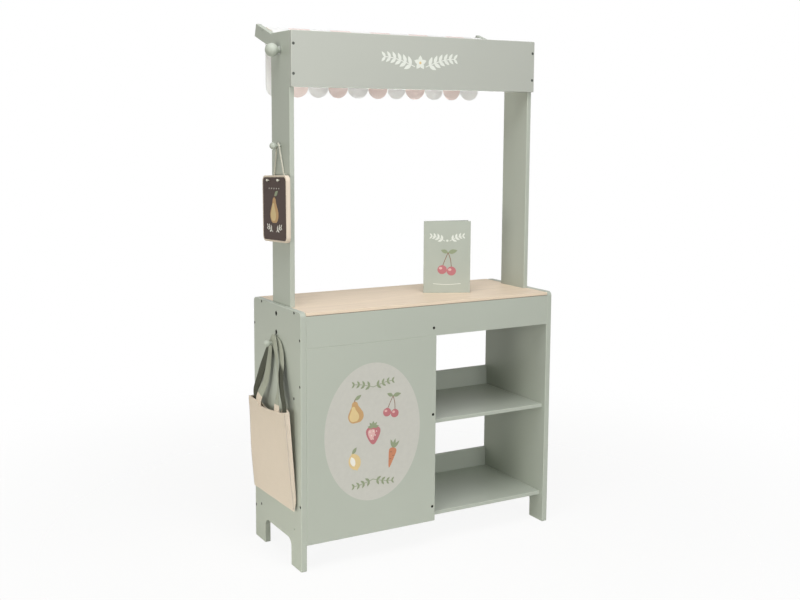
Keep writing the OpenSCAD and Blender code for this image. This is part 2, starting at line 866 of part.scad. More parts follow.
// The faces of a cloth solid made of two grids of points, front and rear
function cloth_faces(cols, rows) =
    let (w = cols + 1)
    let (n = w * (rows + 1))
    let (rim = concat(
        [for (c = [0:cols]) c],
        [for (r = [1:rows]) r * w + cols],
        [for (c = [cols - 1:-1:0]) rows * w + c],
        [for (r = [rows - 1:-1:1]) r * w]))
    concat(
        [for (r = [0:rows - 1], c = [0:cols - 1]) let (a = r * w + c) [a, a + 1, a + w + 1]],
        [for (r = [0:rows - 1], c = [0:cols - 1]) let (a = r * w + c) [a, a + w + 1, a + w]],
        [for (r = [0:rows - 1], c = [0:cols - 1]) let (a = n + r * w + c) [a, a + w + 1, a + 1]],
        [for (r = [0:rows - 1], c = [0:cols - 1]) let (a = n + r * w + c) [a, a + w, a + w + 1]],
        [for (i = [0:len(rim) - 1]) let (a = rim[i], b = rim[(i + 1) % len(rim)]) [a, n + b, b]],
        [for (i = [0:len(rim) - 1]) let (a = rim[i], b = rim[(i + 1) % len(rim)]) [a, n + a, n + b]]
    );

module awning_valance() {
    color(blush) place() polyhedron(valance_points, cloth_faces(valance_cols, valance_rows));
}

// A ball knob with a short neck, bored for its bolt
module knob_blank() {
    on_pivot() difference() {
        union() {
            translate([0, 0, knob_reach]) sphere(d = knob_d);
            translate([0, 0, washer_t + run_gap])
                cylinder(d = knob_neck_d, h = knob_reach - washer_t - run_gap);
        }
        cylinder(d = pivot_bolt_d + 2 * fit, h = knob_reach + fit);
    }
}

// The bolt runs from the ball through the washer, the post and the arm into the tee nut
module pivot_bolt_blank() {
    pivot_depth = inner_x - arm_inner_x + tee_flange_t;
    on_pivot() translate([0, 0, -pivot_depth]) cylinder(d = pivot_bolt_d, h = pivot_depth + knob_reach);
}

module left_knob() {
    color(sage) place() knob_blank();
}

module right_knob() {
    color(sage) place_right() knob_blank();
}

module left_pivot_bolt() {
    color(zinc) place() pivot_bolt_blank();
}

module right_pivot_bolt() {
    color(zinc) place_right() pivot_bolt_blank();
}

// Lays a child in the tablet's frame: X out of the stall is negative, Z from its lower edge up
module on_tablet() {
    translate([-inner_x - tablet_foot_gap, 0, tablet_low_z]) rotate([0, -tablet_lean, 0])
        translate([0, 0, tablet_h / 2]) rotate([-tablet_roll, 0, 0])
            translate([0, 0, -tablet_h / 2]) children();
}

// The two holes for the cord, right through the tablet
module cord_holes() {
    for (side = [-1, 1])
        translate([-tablet_t - overrun, side * cord_hole_pitch / 2, tablet_h - cord_hole_drop])
            rotate([0, 90, 0]) cylinder(d = cord_hole_d, h = tablet_t + 2 * overrun);
}

// The dark face's outline, smaller all round by the rim and the gap given
module face_outline(gap) {
    inset = tablet_rim + gap;
    translate([0, inset])
        rounded_plate(tablet_w - 2 * inset, tablet_h - 2 * inset, tablet_r - inset, tablet_r - inset);
}

module menu_tablet() {
    color(bare_wood) place() on_tablet() difference() {
        translate([-tablet_t, 0, 0]) upright(tablet_t) rounded_plate(tablet_w, tablet_h, tablet_r, tablet_r);
        translate([-tablet_t - overrun, 0, 0]) upright(tablet_face_t + overrun) face_outline(0);
        cord_holes();
    }
}

module tablet_face() {
    color(taupe) place() on_tablet() difference() {
        translate([-tablet_t, 0, 0]) upright(tablet_face_t - fit) face_outline(fit);
        cord_holes();
    }
}

// A point of the tablet's own frame, in the stall's frame
function tablet_point(x, y, z) =
    let (rise = z - tablet_h / 2)
    let (up = tablet_h / 2 + rise * cos(tablet_roll) - y * sin(tablet_roll))
    [
        -inner_x - tablet_foot_gap + x * cos(tablet_lean) - up * sin(tablet_lean),
        y * cos(tablet_roll) + rise * sin(tablet_roll),
        tablet_low_z + x * sin(tablet_lean) + up * cos(tablet_lean)
    ];

// One end of the cord's route: from the knot through its hole, up behind the tablet, to the peg's loop
cord_hole_z = tablet_h - cord_hole_drop;
cord_back_x = -inner_x - run_gap - cord_d / 2;
cord_loop_steps = 8;
function cord_end(side) =
    let (hole_y = side * cord_hole_pitch / 2)
    let (back = tablet_point(0, hole_y, cord_hole_z))
    [
        tablet_point(-tablet_t - cord_knot_d / 2, hole_y, cord_hole_z),
        tablet_point(-tablet_t, hole_y, cord_hole_z),
        tablet_point(-tablet_t / 2, hole_y, cord_hole_z),
        tablet_point(-cord_d / 4, hole_y, cord_hole_z),
        [cord_back_x - run_gap / 3, back[1], back[2] + cord_d / 3],
        [cord_back_x, back[1] - side * cord_d / 4, back[2] + 2 * cord_d]
    ];

// The loop over the peg's shank, seen along X
cord_loop = [
    for (i = [0:cord_loop_steps])
        let (a = cord_flare + (180 - 2 * cord_flare) * i / cord_loop_steps)
        [-inner_x - cord_loop_out, cord_loop_r * cos(a), tablet_peg_z + cord_loop_r * sin(a)]
];

// An end with the straight strand between the tablet and the loop, in even steps
cord_strand_steps = 6;
function between(a, b, s) = a + (b - a) * s;
function cord_side(side) =
    let (end = cord_end(side))
    let (top = cord_loop[side > 0 ? 0 : cord_loop_steps])
    concat(end, [for (i = [1:cord_strand_steps - 1]) between(end[len(end) - 1], top, i / cord_strand_steps)]);
function reversed(list) = [for (i = [len(list) - 1:-1:0]) list[i]];
cord_route = concat(cord_side(1), cord_loop, reversed(cord_side(-1)));

function unit(v) = v / norm(v);

// The direction of a route at one of its points
function heading(route, i) = unit(route[min(i + 1, len(route) - 1)] - route[max(i - 1, 0)]);

// Faces of a solid lofted through rings of points, closed at both ends
function loft_faces(rings, sides) = concat(
    [for (i = [0:rings - 2], j = [0:sides - 1])
        let (a = i * sides + j, b = i * sides + (j + 1) % sides) [a, b + sides, b]],
    [for (i = [0:rings - 2], j = [0:sides - 1])
        let (a = i * sides + j, b = i * sides + (j + 1) % sides) [a, a + sides, b + sides]],
    [for (j = [1:sides - 2]) [0, j, j + 1]],
    [for (j = [1:sides - 2]) let (s = (rings - 1) * sides) [s, s + j + 1, s + j]]
);

// A round tube along a route
tube_sides = 8;
tube_reference = unit([1, 1, 0]);
function tube_ring(route, i, r) =
    let (t = heading(route, i))
    let (n = unit(cross(t, tube_reference)))
    let (b = cross(t, n))
    [for (j = [0:tube_sides - 1])
        let (a = 360 * j / tube_sides)
        route[i] + r * (cos(a) * n + sin(a) * b)];

module tube(route, r) {
    points = [for (i = [0:len(route) - 1], p = tube_ring(route, i, r)) p];
    polyhedron(points, loft_faces(len(route), tube_sides));
}

module tablet_cord() {
    color(cotton) place() {
        tube(cord_route, cord_d / 2);
        for (p = [cord_route[0], cord_route[len(cord_route) - 1]])
            translate(p) rotate([0, 90, 0]) sphere(d = cord_knot_d, $fn = 20);
    }
}

// The bag hangs with its mouth further out than its bottom, and its sides fold in
bag_steps = 8;
bag_rows = 5;

// Thickness and half width of the bag at a share of its height
function bag_thick(s) = between(bag_base_t, bag_mouth_t, s);
function bag_half_w(s) = between(bag_w, bag_mouth_w, s) / 2;

// Distance from the gable to the bag's inner wall
function bag_back(s) = bag_gap + bag_lean * s;

// A point of the bag by its distance from the gable
function bag_spot(out, y, z) = [-stall_w / 2 - out, y, z];

// One ring round the bag; the walls' edges dip between the handles
function bag_ring(s, wall) =
    let (half_w = bag_half_w(s) - wall)
    let (seam_y = half_w - bag_pinch * s)
    let (outer = bag_back(s) + bag_thick(s) - wall)
    let (inner = bag_back(s) + wall)
    let (z = bag_low_z + wall + s * (bag_h - wall))
    concat(
        [bag_spot((outer + inner) / 2, seam_y, z)],
        [for (i = [0:bag_steps])
            let (c = 1 - 2 * i / bag_steps)
            bag_spot(outer, c * half_w, z - bag_dip * pow(s, 3) * (1 - c * c))],
        [bag_spot((outer + inner) / 2, -seam_y, z)],
        [for (i = [0:bag_steps])
            let (c = 2 * i / bag_steps - 1)
            let (drop = bag_back_dip * pow(s, 3) * (1 - c * c))
            bag_spot(inner - bag_lean * drop / bag_h, c * half_w, z - drop)]);

// The walls as one skin: up the outside to the mouth, then down the inside
module bag_body() {
    outside = [for (i = [0:bag_rows]) bag_ring(i / bag_rows, 0)];
    inside = [for (i = [bag_rows:-1:0]) bag_ring(i / bag_rows, bag_wall)];
    points = [for (ring = concat(outside, inside), p = ring) p];
    color(cotton) place() polyhedron(points, loft_faces(2 * (bag_rows + 1), 2 * bag_steps + 4));
}

// A handle is a flat band: flat on the bag's wall at its ends, with its face tilted up over the peg
strap_steps = 9;
strap_turn_share = 1.15;

// Distance from the gable to a handle that lies inside the outer or the inner wall
function strap_out(s, outer) =
    let (seat = bag_wall + run_gap + strap_t / 2)
    outer ? bag_back(s) + bag_thick(s) - seat : bag_back(s) + seat;

// Width of the band at a turn
function strap_width(turn) = between(strap_w, strap_top_w, turn);

// Least distance from the gable at which the turning band stays clear of it
function strap_clear(turn) =
    let (up = turn * strap_tilt)
    2 * run_gap + strap_width(turn) / 2 * sin(up) + strap_t / 2 * cos(up);

// Direction that the band faces: away from the gable, and tilted up towards the peg
function strap_face(turn) = [-cos(turn * strap_tilt), 0, sin(turn * strap_tilt)];

// One half of a handle's route with its turn, as [point, turn]
function strap_leg(half_pitch, outer, top_z, side) =
    let (low_out = strap_out(1 - strap_sewn / bag_h, outer))
    let (mouth_out = strap_out(1, outer))
    concat(
        [[[-stall_w / 2 - low_out, side * half_pitch, bag_mouth_z - strap_sewn], 0]],
        [for (i = [0:strap_steps - 1])
            let (a = 90 * i / strap_steps)
            let (turn = min(1, sin(a) * strap_turn_share))
            let (out = max(between(mouth_out, strap_mid_out, turn), strap_clear(turn)))
            [[-stall_w / 2 - out, side * half_pitch * cos(a),
                bag_mouth_z + (top_z - bag_mouth_z) * sin(a)], turn]]);

function strap_route(half_pitch, outer, top_z) = concat(
    strap_leg(half_pitch, outer, top_z, 1),
    [[[-stall_w / 2 - max(strap_mid_out, strap_clear(1)), 0, top_z], 1]],
    reversed(strap_leg(half_pitch, outer, top_z, -1)));

// The four corners of the band at one point of its route
function strap_ring(route, i) =
    let (points = [for (p = route) p[0]])
    let (t = heading(points, i))
    let (turn = route[i][1])
    let (across = unit(cross(strap_face(turn), t)))
    let (n = cross(t, across))
    [for (c = [[-1, -1], [1, -1], [1, 1], [-1, 1]])
        points[i] + c[0] * strap_width(turn) / 2 * across + c[1] * strap_t / 2 * n];

module strap(route) {
    points = [for (i = [0:len(route) - 1], p = strap_ring(route, i)) p];
    color(webbing) place() polyhedron(points, loft_faces(len(route), 4));
}

// Each handle is sewn inside its own wall of the bag; the wider inner one lies on top at the peg
module outer_handle() {
    strap(strap_route(strap_pitch / 2, true, strap_top_z));
}

module inner_handle() {
    strap(strap_route(strap_wide_pitch / 2, false, strap_top_z + strap_nest));
}

// Lays a child at the card's fold, turned by the angle given
module on_fold(angle) {
    translate([card_x, card_y, worktop_top + card_gap]) rotate([0, 0, angle]) children();
}

module card_front_leaf() {
    color(card_green) place() on_fold(card_turn)
        board([fold_gap, -fold_gap - card_t, 0], [card_w, card_t, card_h]);
}

module card_back_leaf() {
    color(card_green) place() on_fold(card_turn + card_angle)
        board([fold_gap, fold_gap, 0], [card_w, card_t, card_h]);
}

left_gable();
right_gable();
worktop();
front_rail();
front_panel();
divider();
right_middle_shelf();
right_bottom_shelf();
left_middle_shelf();
left_bottom_shelf();
top_back_rail();
middle_back_rail();
bottom_back_rail();
left_post();
right_post();
sign_board();
left_gable_screws();
right_gable_screws();
divider_screws();
front_screws();
rear_screws();
sign_screws();
post_bolts();
post_nuts();
tablet_peg();
bag_peg();
knob_washers();
left_arm();
right_arm();
front_slat();
rear_slat();
slat_screws();
tee_nuts();
awning_roof();
awning_valance();
left_knob();
left_pivot_bolt();
right_knob();
right_pivot_bolt();
menu_tablet();
tablet_face();
tablet_cord();
bag_body();
outer_handle();
inner_handle();
card_front_leaf();
card_back_leaf();
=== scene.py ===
# %% [markdown]
# # A toy market stall, dressed in Blender
# The CAD model gives every board, bolt and joint its size and place. This lesson loads it as a fixed
# frame and then gives each piece the look of the real thing: painted board with eased edges, pale
# wood, a striped cotton awning, a canvas bag on webbing handles, a small tablet on a cord and a card.
# Everything is in metres, stands on z = 0 and faces -Y.

# %% Load the frame
import json
import math

import bmesh
import bpy
import numpy as np
from mathutils import Matrix, Vector


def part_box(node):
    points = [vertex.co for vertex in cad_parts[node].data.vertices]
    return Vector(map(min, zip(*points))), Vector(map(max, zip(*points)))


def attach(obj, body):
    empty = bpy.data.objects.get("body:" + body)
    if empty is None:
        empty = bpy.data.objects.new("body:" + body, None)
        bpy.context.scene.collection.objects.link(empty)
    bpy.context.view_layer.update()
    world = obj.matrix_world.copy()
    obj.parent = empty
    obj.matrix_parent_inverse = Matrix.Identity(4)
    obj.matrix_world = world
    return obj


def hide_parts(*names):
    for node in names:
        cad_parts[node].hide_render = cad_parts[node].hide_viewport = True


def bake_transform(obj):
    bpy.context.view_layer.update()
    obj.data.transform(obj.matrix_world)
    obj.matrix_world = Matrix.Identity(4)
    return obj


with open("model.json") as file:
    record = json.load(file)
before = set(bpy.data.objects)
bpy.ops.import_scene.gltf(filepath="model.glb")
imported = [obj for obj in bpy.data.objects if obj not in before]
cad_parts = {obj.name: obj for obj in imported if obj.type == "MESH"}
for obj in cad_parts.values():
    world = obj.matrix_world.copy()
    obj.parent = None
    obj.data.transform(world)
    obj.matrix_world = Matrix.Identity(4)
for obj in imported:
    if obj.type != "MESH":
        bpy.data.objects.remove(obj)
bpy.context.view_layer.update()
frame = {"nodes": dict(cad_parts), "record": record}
BODY_OF = {node: body for body, nodes in frame["record"]["behaviour"]["bodies"].items() for node in nodes}

# %% [markdown]
# The CAD source measures from the middle of the gables' footprint, in millimetres. `at` turns such a
# point into the shared frame in metres, so that a size here can be checked against the source. The
# left gable's own box tells where that middle is.

# %% The maker's millimetres
MM = 0.001
HALF_WIDTH = 300.0
gable_low, gable_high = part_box("left_gable")
HOME = Vector((gable_low.x + HALF_WIDTH * MM, (gable_low.y + gable_high.y) / 2, 0.0))


def at(x, y, z):
    """A point of the CAD source, in millimetres, as a point of the shared frame."""
    return HOME + Vector((x, y, z)) * MM


print("home:", [round(c, 5) for c in HOME])

# %% [markdown]
# The camera stands where the photographer stood: left of the front, 29 degrees round, a third of a
# metre above the counter and looking slightly down. Its place, turn and lens were solved from the board
# corners. The picture's middle isn't the middle of the lens, and two small shifts say by how much. They
# are as small as the framing allows, because every other view of the stall keeps them.

# %% Camera


def new_object(name, data):
    """An object that holds the data, linked to the scene."""
    made = bpy.data.objects.new(name, data)
    bpy.context.scene.collection.objects.link(made)
    return made


IMAGE_WIDTH, IMAGE_HEIGHT = 800, 600
FOCAL_PIXELS = 1093.52
LENS_MIDDLE = (390.0, 255.0)
EYE = (-1160.96, -1996.92, 878.48)
yaw, pitch, roll = (math.radians(angle) for angle in (29.335, 6.846, 0.309))

ahead = Vector((math.sin(yaw) * math.cos(pitch), math.cos(yaw) * math.cos(pitch), -math.sin(pitch)))
level = Vector((math.cos(yaw), -math.sin(yaw), 0.0))
upward = level.cross(ahead)
right_hand = level * math.cos(roll) + upward * math.sin(roll)
overhead = upward * math.cos(roll) - level * math.sin(roll)
turn = Matrix((right_hand, overhead, -ahead)).transposed().to_4x4()

camera_data = bpy.data.cameras.new("photo_camera")
camera_data.sensor_width = 36.0
camera_data.lens = FOCAL_PIXELS / IMAGE_WIDTH * camera_data.sensor_width
camera_data.shift_x = 0.5 - LENS_MIDDLE[0] / IMAGE_WIDTH
camera_data.shift_y = (LENS_MIDDLE[1] - IMAGE_HEIGHT / 2) / IMAGE_WIDTH
camera = new_object("photo_camera", camera_data)
camera.matrix_world = Matrix.Translation(at(*EYE)) @ turn
bpy.context.scene.camera = camera
print("camera: lens", round(camera_data.lens, 2), "mm")

# %% [markdown]
# Most soft pieces are lists of points that code works out, so one helper turns points and faces into
# an object, smooths its shading, lets it ride on its body and hides the CAD nodes it stands for.

# %% A helper for new pieces
SOFT_FOLD = math.radians(50)


def add_piece(name, shape, body, stands_for=(), flat=None, finish_of=None, place=at):
    """A piece from points and faces. Place puts a point in the frame, flat on the uncut cloth."""
    points, faces = shape
    mesh = bpy.data.meshes.new(name)
    mesh.from_pydata([tuple(place(*p)) for p in points], [], [tuple(f) for f in faces])
    whole = bmesh.new()
    whole.from_mesh(mesh)
    bmesh.ops.recalc_face_normals(whole, faces=whole.faces)
    whole.to_mesh(mesh)
    whole.free()
    for map_name, places in (flat or {}).items():
        layer = mesh.uv_layers.new(name=map_name)
        for loop in mesh.loops:
            layer.data[loop.index].uv = places[loop.vertex_index]
    if finish_of:
        mesh.polygons.foreach_set("material_index", finish_of)
    mesh.shade_smooth()
    mesh.set_sharp_from_angle(angle=SOFT_FOLD)
    piece = new_object(name, mesh)
    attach(piece, body)
    if stands_for:
        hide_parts(*stands_for)
    return piece


def loft(rings):
    """A solid through equal rings of points, as points and faces."""
    count, sides = len(rings), len(rings[0])
    faces = [
        (i * sides + j, i * sides + (j + 1) % sides, (i + 1) * sides + (j + 1) % sides, (i + 1) * sides + j)
        for i in range(count - 1)
        for j in range(sides)
    ]
    faces.append(tuple(range(sides))[::-1])
    faces.append(tuple((count - 1) * sides + j for j in range(sides)))
    return [p for ring in rings for p in ring], faces


print("helpers: add_piece, loft")

# %% [markdown]
# The tablet hangs on a cotton cord of 3.5 mm: it leaves a knot at the front of the plate, goes through
# a hole, up behind it, over the peg and down to a second knot. A plain bevelled curve would look like
# plastic tube, so three thin strands are wound round the route, as a rope walk does. The route's
# points are those of the CAD source.

# %% The cord's route
CORD_D = 3.5
CORD_STEP = 0.8
CORD_POINTS = [
    (-305.285, 28.514, 764.909), (-301.536, 28.514, 764.863), (-297.036, 28.514, 764.809),
    (-293.411, 28.514, 764.765), (-290.15, 28.514, 765.921), (-290.05, 27.639, 771.754),
    (-290.604, 23.837, 782.376), (-291.158, 20.034, 792.998), (-291.712, 16.232, 803.62),
    (-292.267, 12.43, 814.243), (-292.821, 8.628, 824.865), (-293.375, 4.826, 835.487),
    (-293.375, 4.119, 836.921), (-293.375, 2.999, 838.063), (-293.375, 1.579, 838.797),
    (-293.375, 0.0, 839.05),
    (-293.375, -1.579, 838.797), (-293.375, -2.999, 838.063), (-293.375, -4.119, 836.921),
    (-293.375, -4.826, 835.487), (-292.821, -7.781, 825.258), (-292.267, -10.737, 815.029),
    (-291.712, -13.692, 804.8), (-291.158, -16.647, 794.571), (-290.604, -19.603, 784.342),
    (-290.05, -22.558, 774.113), (-290.15, -23.433, 768.279), (-293.383, -23.433, 767.123),
    (-297.007, -23.433, 767.167), (-301.507, -23.433, 767.222), (-305.257, -23.433, 767.267),
]


def smooth_path(points, step, closed=False):
    """A smooth curve through points, with a new point about every step."""
    points = [np.array(p, float) for p in points]
    count = len(points)
    path = []
    for i in range(count if closed else count - 1):
        if closed:
            a, b, c, d = (points[(i + k) % count] for k in (-1, 0, 1, 2))
        else:
            a, b, c, d = (points[min(max(i + k, 0), count - 1)] for k in (-1, 0, 1, 2))
        pieces = max(1, round(float(np.linalg.norm(c - b)) / step))
        for k in range(pieces):
            t = k / pieces
            square, cube = 2 * a - 5 * b + 4 * c - d, 3 * b - a - 3 * c + d
            path.append(0.5 * (2 * b + (c - a) * t + square * t**2 + cube * t**3))
    return path if closed else path + [points[-1]]


cord_path = smooth_path(CORD_POINTS, CORD_STEP)
cord_length = sum(float(np.linalg.norm(b - a)) for a, b in zip(cord_path, cord_path[1:])) * MM
print("cord:", len(cord_path), "points,", round(cord_length, 4), "m")

# %% [markdown]
# Each strand is a tube whose centre circles the route once every 10 mm. The tubes need a frame that
# travels along the route without flipping, so the side vector is carried from point to point and only
# kept square to the route.

# %% Twisted strands
STRANDS, STRAND_SIDES = 3, 7
STRAND_R, STRAND_OFFSET = 0.88, 0.88
LAY_LENGTH = 10.0
FIRST_SIDE = (0.3, 0.2, 1.0)


def headings(path):
    """The direction of a path at each of its points."""
    ends = [(path[max(i - 1, 0)], path[min(i + 1, len(path) - 1)]) for i in range(len(path))]
    return [(b - a) / np.linalg.norm(b - a) for a, b in ends]


def travelling_frames(path):
    """A side and a second side vector at each point, carried along without twist."""
    side = np.cross(headings(path)[0], FIRST_SIDE)
    frames = []
    for forward in headings(path):
        side = side - forward * np.dot(side, forward)
        side = side / np.linalg.norm(side)
        frames.append((side, np.cross(forward, side)))
    return frames


def tube(path, radius, sides):
    """Rings of a round tube along a path."""
    angles = [2 * math.pi * j / sides for j in range(sides)]
    return [
        [p + radius * (math.cos(a) * side + math.sin(a) * other) for a in angles]
        for p, (side, other) in zip(path, travelling_frames(path))
    ]


def join(parts):
    """One list of points and one of faces from several."""
    points, faces = [], []
    for part_points, part_faces in parts:
        faces += [tuple(i + len(points) for i in face) for face in part_faces]
        points += list(part_points)
    return points, faces


def twisted(path):
    """The strands of a cord along a path, in millimetres."""
    travelled, strands = 0.0, [[] for _ in range(STRANDS)]
    for i, (p, (side, other)) in enumerate(zip(path, travelling_frames(path))):
        travelled += float(np.linalg.norm(p - path[i - 1])) if i else 0.0
        for k in range(STRANDS):
            a = 2 * math.pi * (travelled / LAY_LENGTH + k / STRANDS)
            strands[k].append(p + STRAND_OFFSET * (math.cos(a) * side + math.sin(a) * other))
    return join([loft(tube(strand, STRAND_R, STRAND_SIDES)) for strand in strands])


cord = add_piece("tablet_cord_rope", twisted(cord_path), "tablet", ["tablet_cord"])
print("cord strands:", len(cord.data.polygons), "faces")

# %% [markdown]
# Each end is held by a simple knot, trimmed flush. A three-lobed knot curve, drawn tight, gives the
# turns that a real overhand knot shows.

# %% Knots
KNOT_R = 1.0
KNOT_LOBE = 0.5
KNOT_DEPTH = 0.75
KNOT_TUBE_R = 0.36 * CORD_D
KNOT_STEPS, KNOT_SIDES = 72, 8


def knot(centre):
    """A tight three-lobed knot round a point."""
    path = []
    for i in range(KNOT_STEPS + 1):
        a = 2 * math.pi * i / KNOT_STEPS
        reach = KNOT_R + KNOT_LOBE * math.cos(3 * a)
        offset = (KNOT_DEPTH * math.sin(3 * a), reach * math.cos(2 * a), reach * math.sin(2 * a))
        path.append(np.array(centre) + np.array(offset))
    return loft(tube(path, KNOT_TUBE_R, KNOT_SIDES))


both_knots = join([knot(CORD_POINTS[0]), knot(CORD_POINTS[-1])])
knots = add_piece("tablet_knots", both_knots, "tablet")
at(*CORD_POINTS[0])
[at(*p) for p in cord_path]
print("knots:", len(knots.data.polygons), "faces")

# %% [markdown]
# The studio is plain: a pale floor that fades into a white background, and soft lamps. One stands at
# the left a little behind the stall, so that the bag's shadow falls forward on the gable. Others stand
# at the left front, in front and overhead. Behind the stall one shines up through the cloth and one
# lights the back, both from near the floor. The side and back lamps have a narrow spread, which keeps
# their light off the other boards. The floor keeps a light shadow.

# %% Floor and lamps
FLOOR_HALF, FLOOR_LEVEL = 4.0, -0.0005
FLOOR_CLEAR, FLOOR_GONE = 0.45, 1.5
bpy.context.scene.view_settings.view_transform = "Standard"

floor_mesh = bpy.data.meshes.new("studio_floor")
corners = [(x * FLOOR_HALF, y * FLOOR_HALF) for x, y in ((-1, -1), (1, -1), (1, 1), (-1, 1))]
floor_mesh.from_pydata([(x, y, FLOOR_LEVEL) for x, y in corners], [], [(0, 1, 2, 3)])
floor = new_object("studio_floor", floor_mesh)

WARM, PLAIN = (1.0, 0.98, 0.9), (1.0, 1.0, 1.0)
LAMPS = [
    # name, place, aim, size, spread in degrees, watts, colour
    ("side_lamp", (-1.6, 0.42, 0.3), (-0.3, -0.06, 0.18), 0.3, 40, 0.26, WARM),
    ("left_lamp", (-2.25, -1.1, 0.6), (0.0, 0.0, 0.6), 0.8, 180, 18.0, WARM),
    ("front_lamp", (0.25, -2.3, 0.9), (0.1, 0.0, 0.35), 0.9, 180, 15.5, PLAIN),
    ("top_lamp", (-0.4, -0.8, 2.35), (0.0, 0.0, 0.5), 1.4, 180, 30.0, PLAIN),
    ("back_lamp", (0.8, 1.3, 0.06), (-0.08, 0.1, 1.0), 0.5, 30, 1.5, PLAIN),
    ("rear_lamp", (0.45, 2.4, 0.1), (0.0, 0.0, 0.5), 0.5, 180, 20.0, PLAIN),
]
for name, place, aim, size, spread, watts, colour in LAMPS:
    lamp_data = bpy.data.lights.new(name, "AREA")
    lamp_data.size = size
    lamp_data.spread = math.radians(spread)
    lamp_data.energy = watts
    lamp_data.color = colour
    lamp = new_object(name, lamp_data)
    lamp.location = place
    lamp.rotation_euler = (Vector(aim) - Vector(place)).to_track_quat("-Z", "Y").to_euler()
print("lamps:", len(LAMPS))

# %% [markdown]
# A finish is a small program of shader nodes. Written as node calls it is hard to read, so `Value`
# wraps a socket and lets Python's own operators add the Math nodes: `0.4 + 0.1 * cloud` then reads
# as it computes. Every other node comes from `Finish.node`, which sets the node's own settings first
# and then fills its sockets with numbers or links.

# %% Shader values


def operator(operation, reflected=False):
    """A method that adds one Math node; the reflected one has its own value on the right."""

    def apply(self, other):
        terms = (other, self) if reflected else (self, other)
        return self.math(operation, *terms)

    return apply


class Value:
    """A shader socket. Arithmetic on it adds Math nodes."""

    def __init__(self, finish, socket):
        self.finish, self.socket = finish, socket

    def math(self, operation, *terms):
        return self.finish.node("ShaderNodeMath", {"operation": operation}, dict(enumerate(terms)))

    __add__ = __radd__ = operator("ADD")
    __mul__ = __rmul__ = operator("MULTIPLY")
    __sub__, __rsub__ = operator("SUBTRACT"), operator("SUBTRACT", True)
    __truediv__, __rtruediv__ = operator("DIVIDE"), operator("DIVIDE", True)
    __gt__, __lt__ = operator("GREATER_THAN"), operator("LESS_THAN")
    __mod__ = operator("FLOORED_MODULO")
    most = operator("MAXIMUM")

    def __abs__(self):
        return self.math("ABSOLUTE", self)

    def sine(self):
        return self.math("SINE", self)

    def root(self):
        return self.math("SQRT", self)


print("shader values: ready")

# %% Finishes


class Finish:
    """A procedural material that is built around one shader, or the world built the same way."""

    def __init__(self, name, family=bpy.data.materials, shader="Principled BSDF"):
        self.material = family.new(name)
        self.material.use_nodes = True
        self.tree = self.material.node_tree
        self.shader = self.tree.nodes[shader]

    def feed(self, socket, value):
        if isinstance(value, Value):
            self.tree.links.new(value.socket, socket)
        else:
            socket.default_value = value

    def node(self, kind, settings=None, sockets=None, out=0):
        made = self.tree.nodes.new(kind)
        for key, value in (settings or {}).items():
            if key == "stops":
                ramp = made.color_ramp
                while len(ramp.elements) < len(value):
                    ramp.elements.new(0.5)
                for element, (position, colour) in zip(ramp.elements, value):
                    element.position, element.color = position, colour
            else:
                setattr(made, key, value)
        for key, value in (sockets or {}).items():
            self.feed(made.inputs[key], value)
        return Value(self, made.outputs[out])

    def surface(self, sockets):
        for key, value in sockets.items():
            self.feed(self.shader.inputs[key], value)
        return self.material

    def place(self):
        """Where a point is on the piece, in metres, whatever pose the stall is in."""
        return self.node("ShaderNodeTexCoord", out="Object")

    def parts(self, vector, *axes):
        """The chosen coordinates of a vector, counted from 0."""
        return [self.node("ShaderNodeSeparateXYZ", {}, {0: vector}, out=axis) for axis in axes]

    def flat(self, name="flat"):
        """Where a point is on the uncut cloth, in metres, as a vector."""
        return self.node("ShaderNodeUVMap", {"uv_map": name})

    def noise(self, vector, scale, detail=2.0, distortion=0.0):
        sockets = {"Vector": vector, "Scale": scale, "Detail": detail, "Distortion": distortion}
        return self.node("ShaderNodeTexNoise", {}, sockets)

    def stretched(self, vector, scale):
        return self.node("ShaderNodeMapping", {}, {"Vector": vector, "Scale": scale})

    def mix(self, factor, first, second):
        return self.node("ShaderNodeMix", {"data_type": "RGBA"}, {0: factor, 6: first, 7: second}, out=2)

    def shades(self, factor, colour, low, high):
        """From a darker to a lighter shade of a colour."""
        return self.mix(factor, tone(*colour, low), tone(*colour, high))

    def fade(self, value, low, high, most=1.0, kind="LINEAR"):
        """From 0 at the low value to most at the high one."""
        sockets = {"Value": value, "From Min": low, "From Max": high, "To Max": most}
        return self.node("ShaderNodeMapRange", {"interpolation_type": kind}, sockets)

    def bump(self, height, distance):
        return self.node("ShaderNodeBump", {}, {"Height": height, "Distance": distance})


def tone(red, green, blue, scale=1.0):
    """A colour picked on a screen, 11 to 255, as the linear colour that a shader takes."""
    shares = [c / 255 for c in (red, green, blue)]
    linear = [((c + 0.055) / 1.055) ** 2.4 for c in shares]
    return (*(min(1.0, c * scale) for c in linear), 1.0)


print("finishes: ready")

# %% [markdown]
# The floor and the world are finishes too. The floor is a pale diffuse surface that turns see-through
# with distance from the stall, where the white world takes over. Light Path tells a camera ray from
# a ray that lights the stall: for the camera the world is pure white, while the light that it throws
# is weaker and a little warm, so that a colour renders about as it is written.

# %% Studio finishes
AMBIENT = 0.18
WARM_AIR, WHITE = (1.0, 1.0, 0.86, 1.0), (1.0, 1.0, 1.0, 1.0)
FLOOR_TONE, FLOOR_GLOW = (242, 242, 240), 0.9


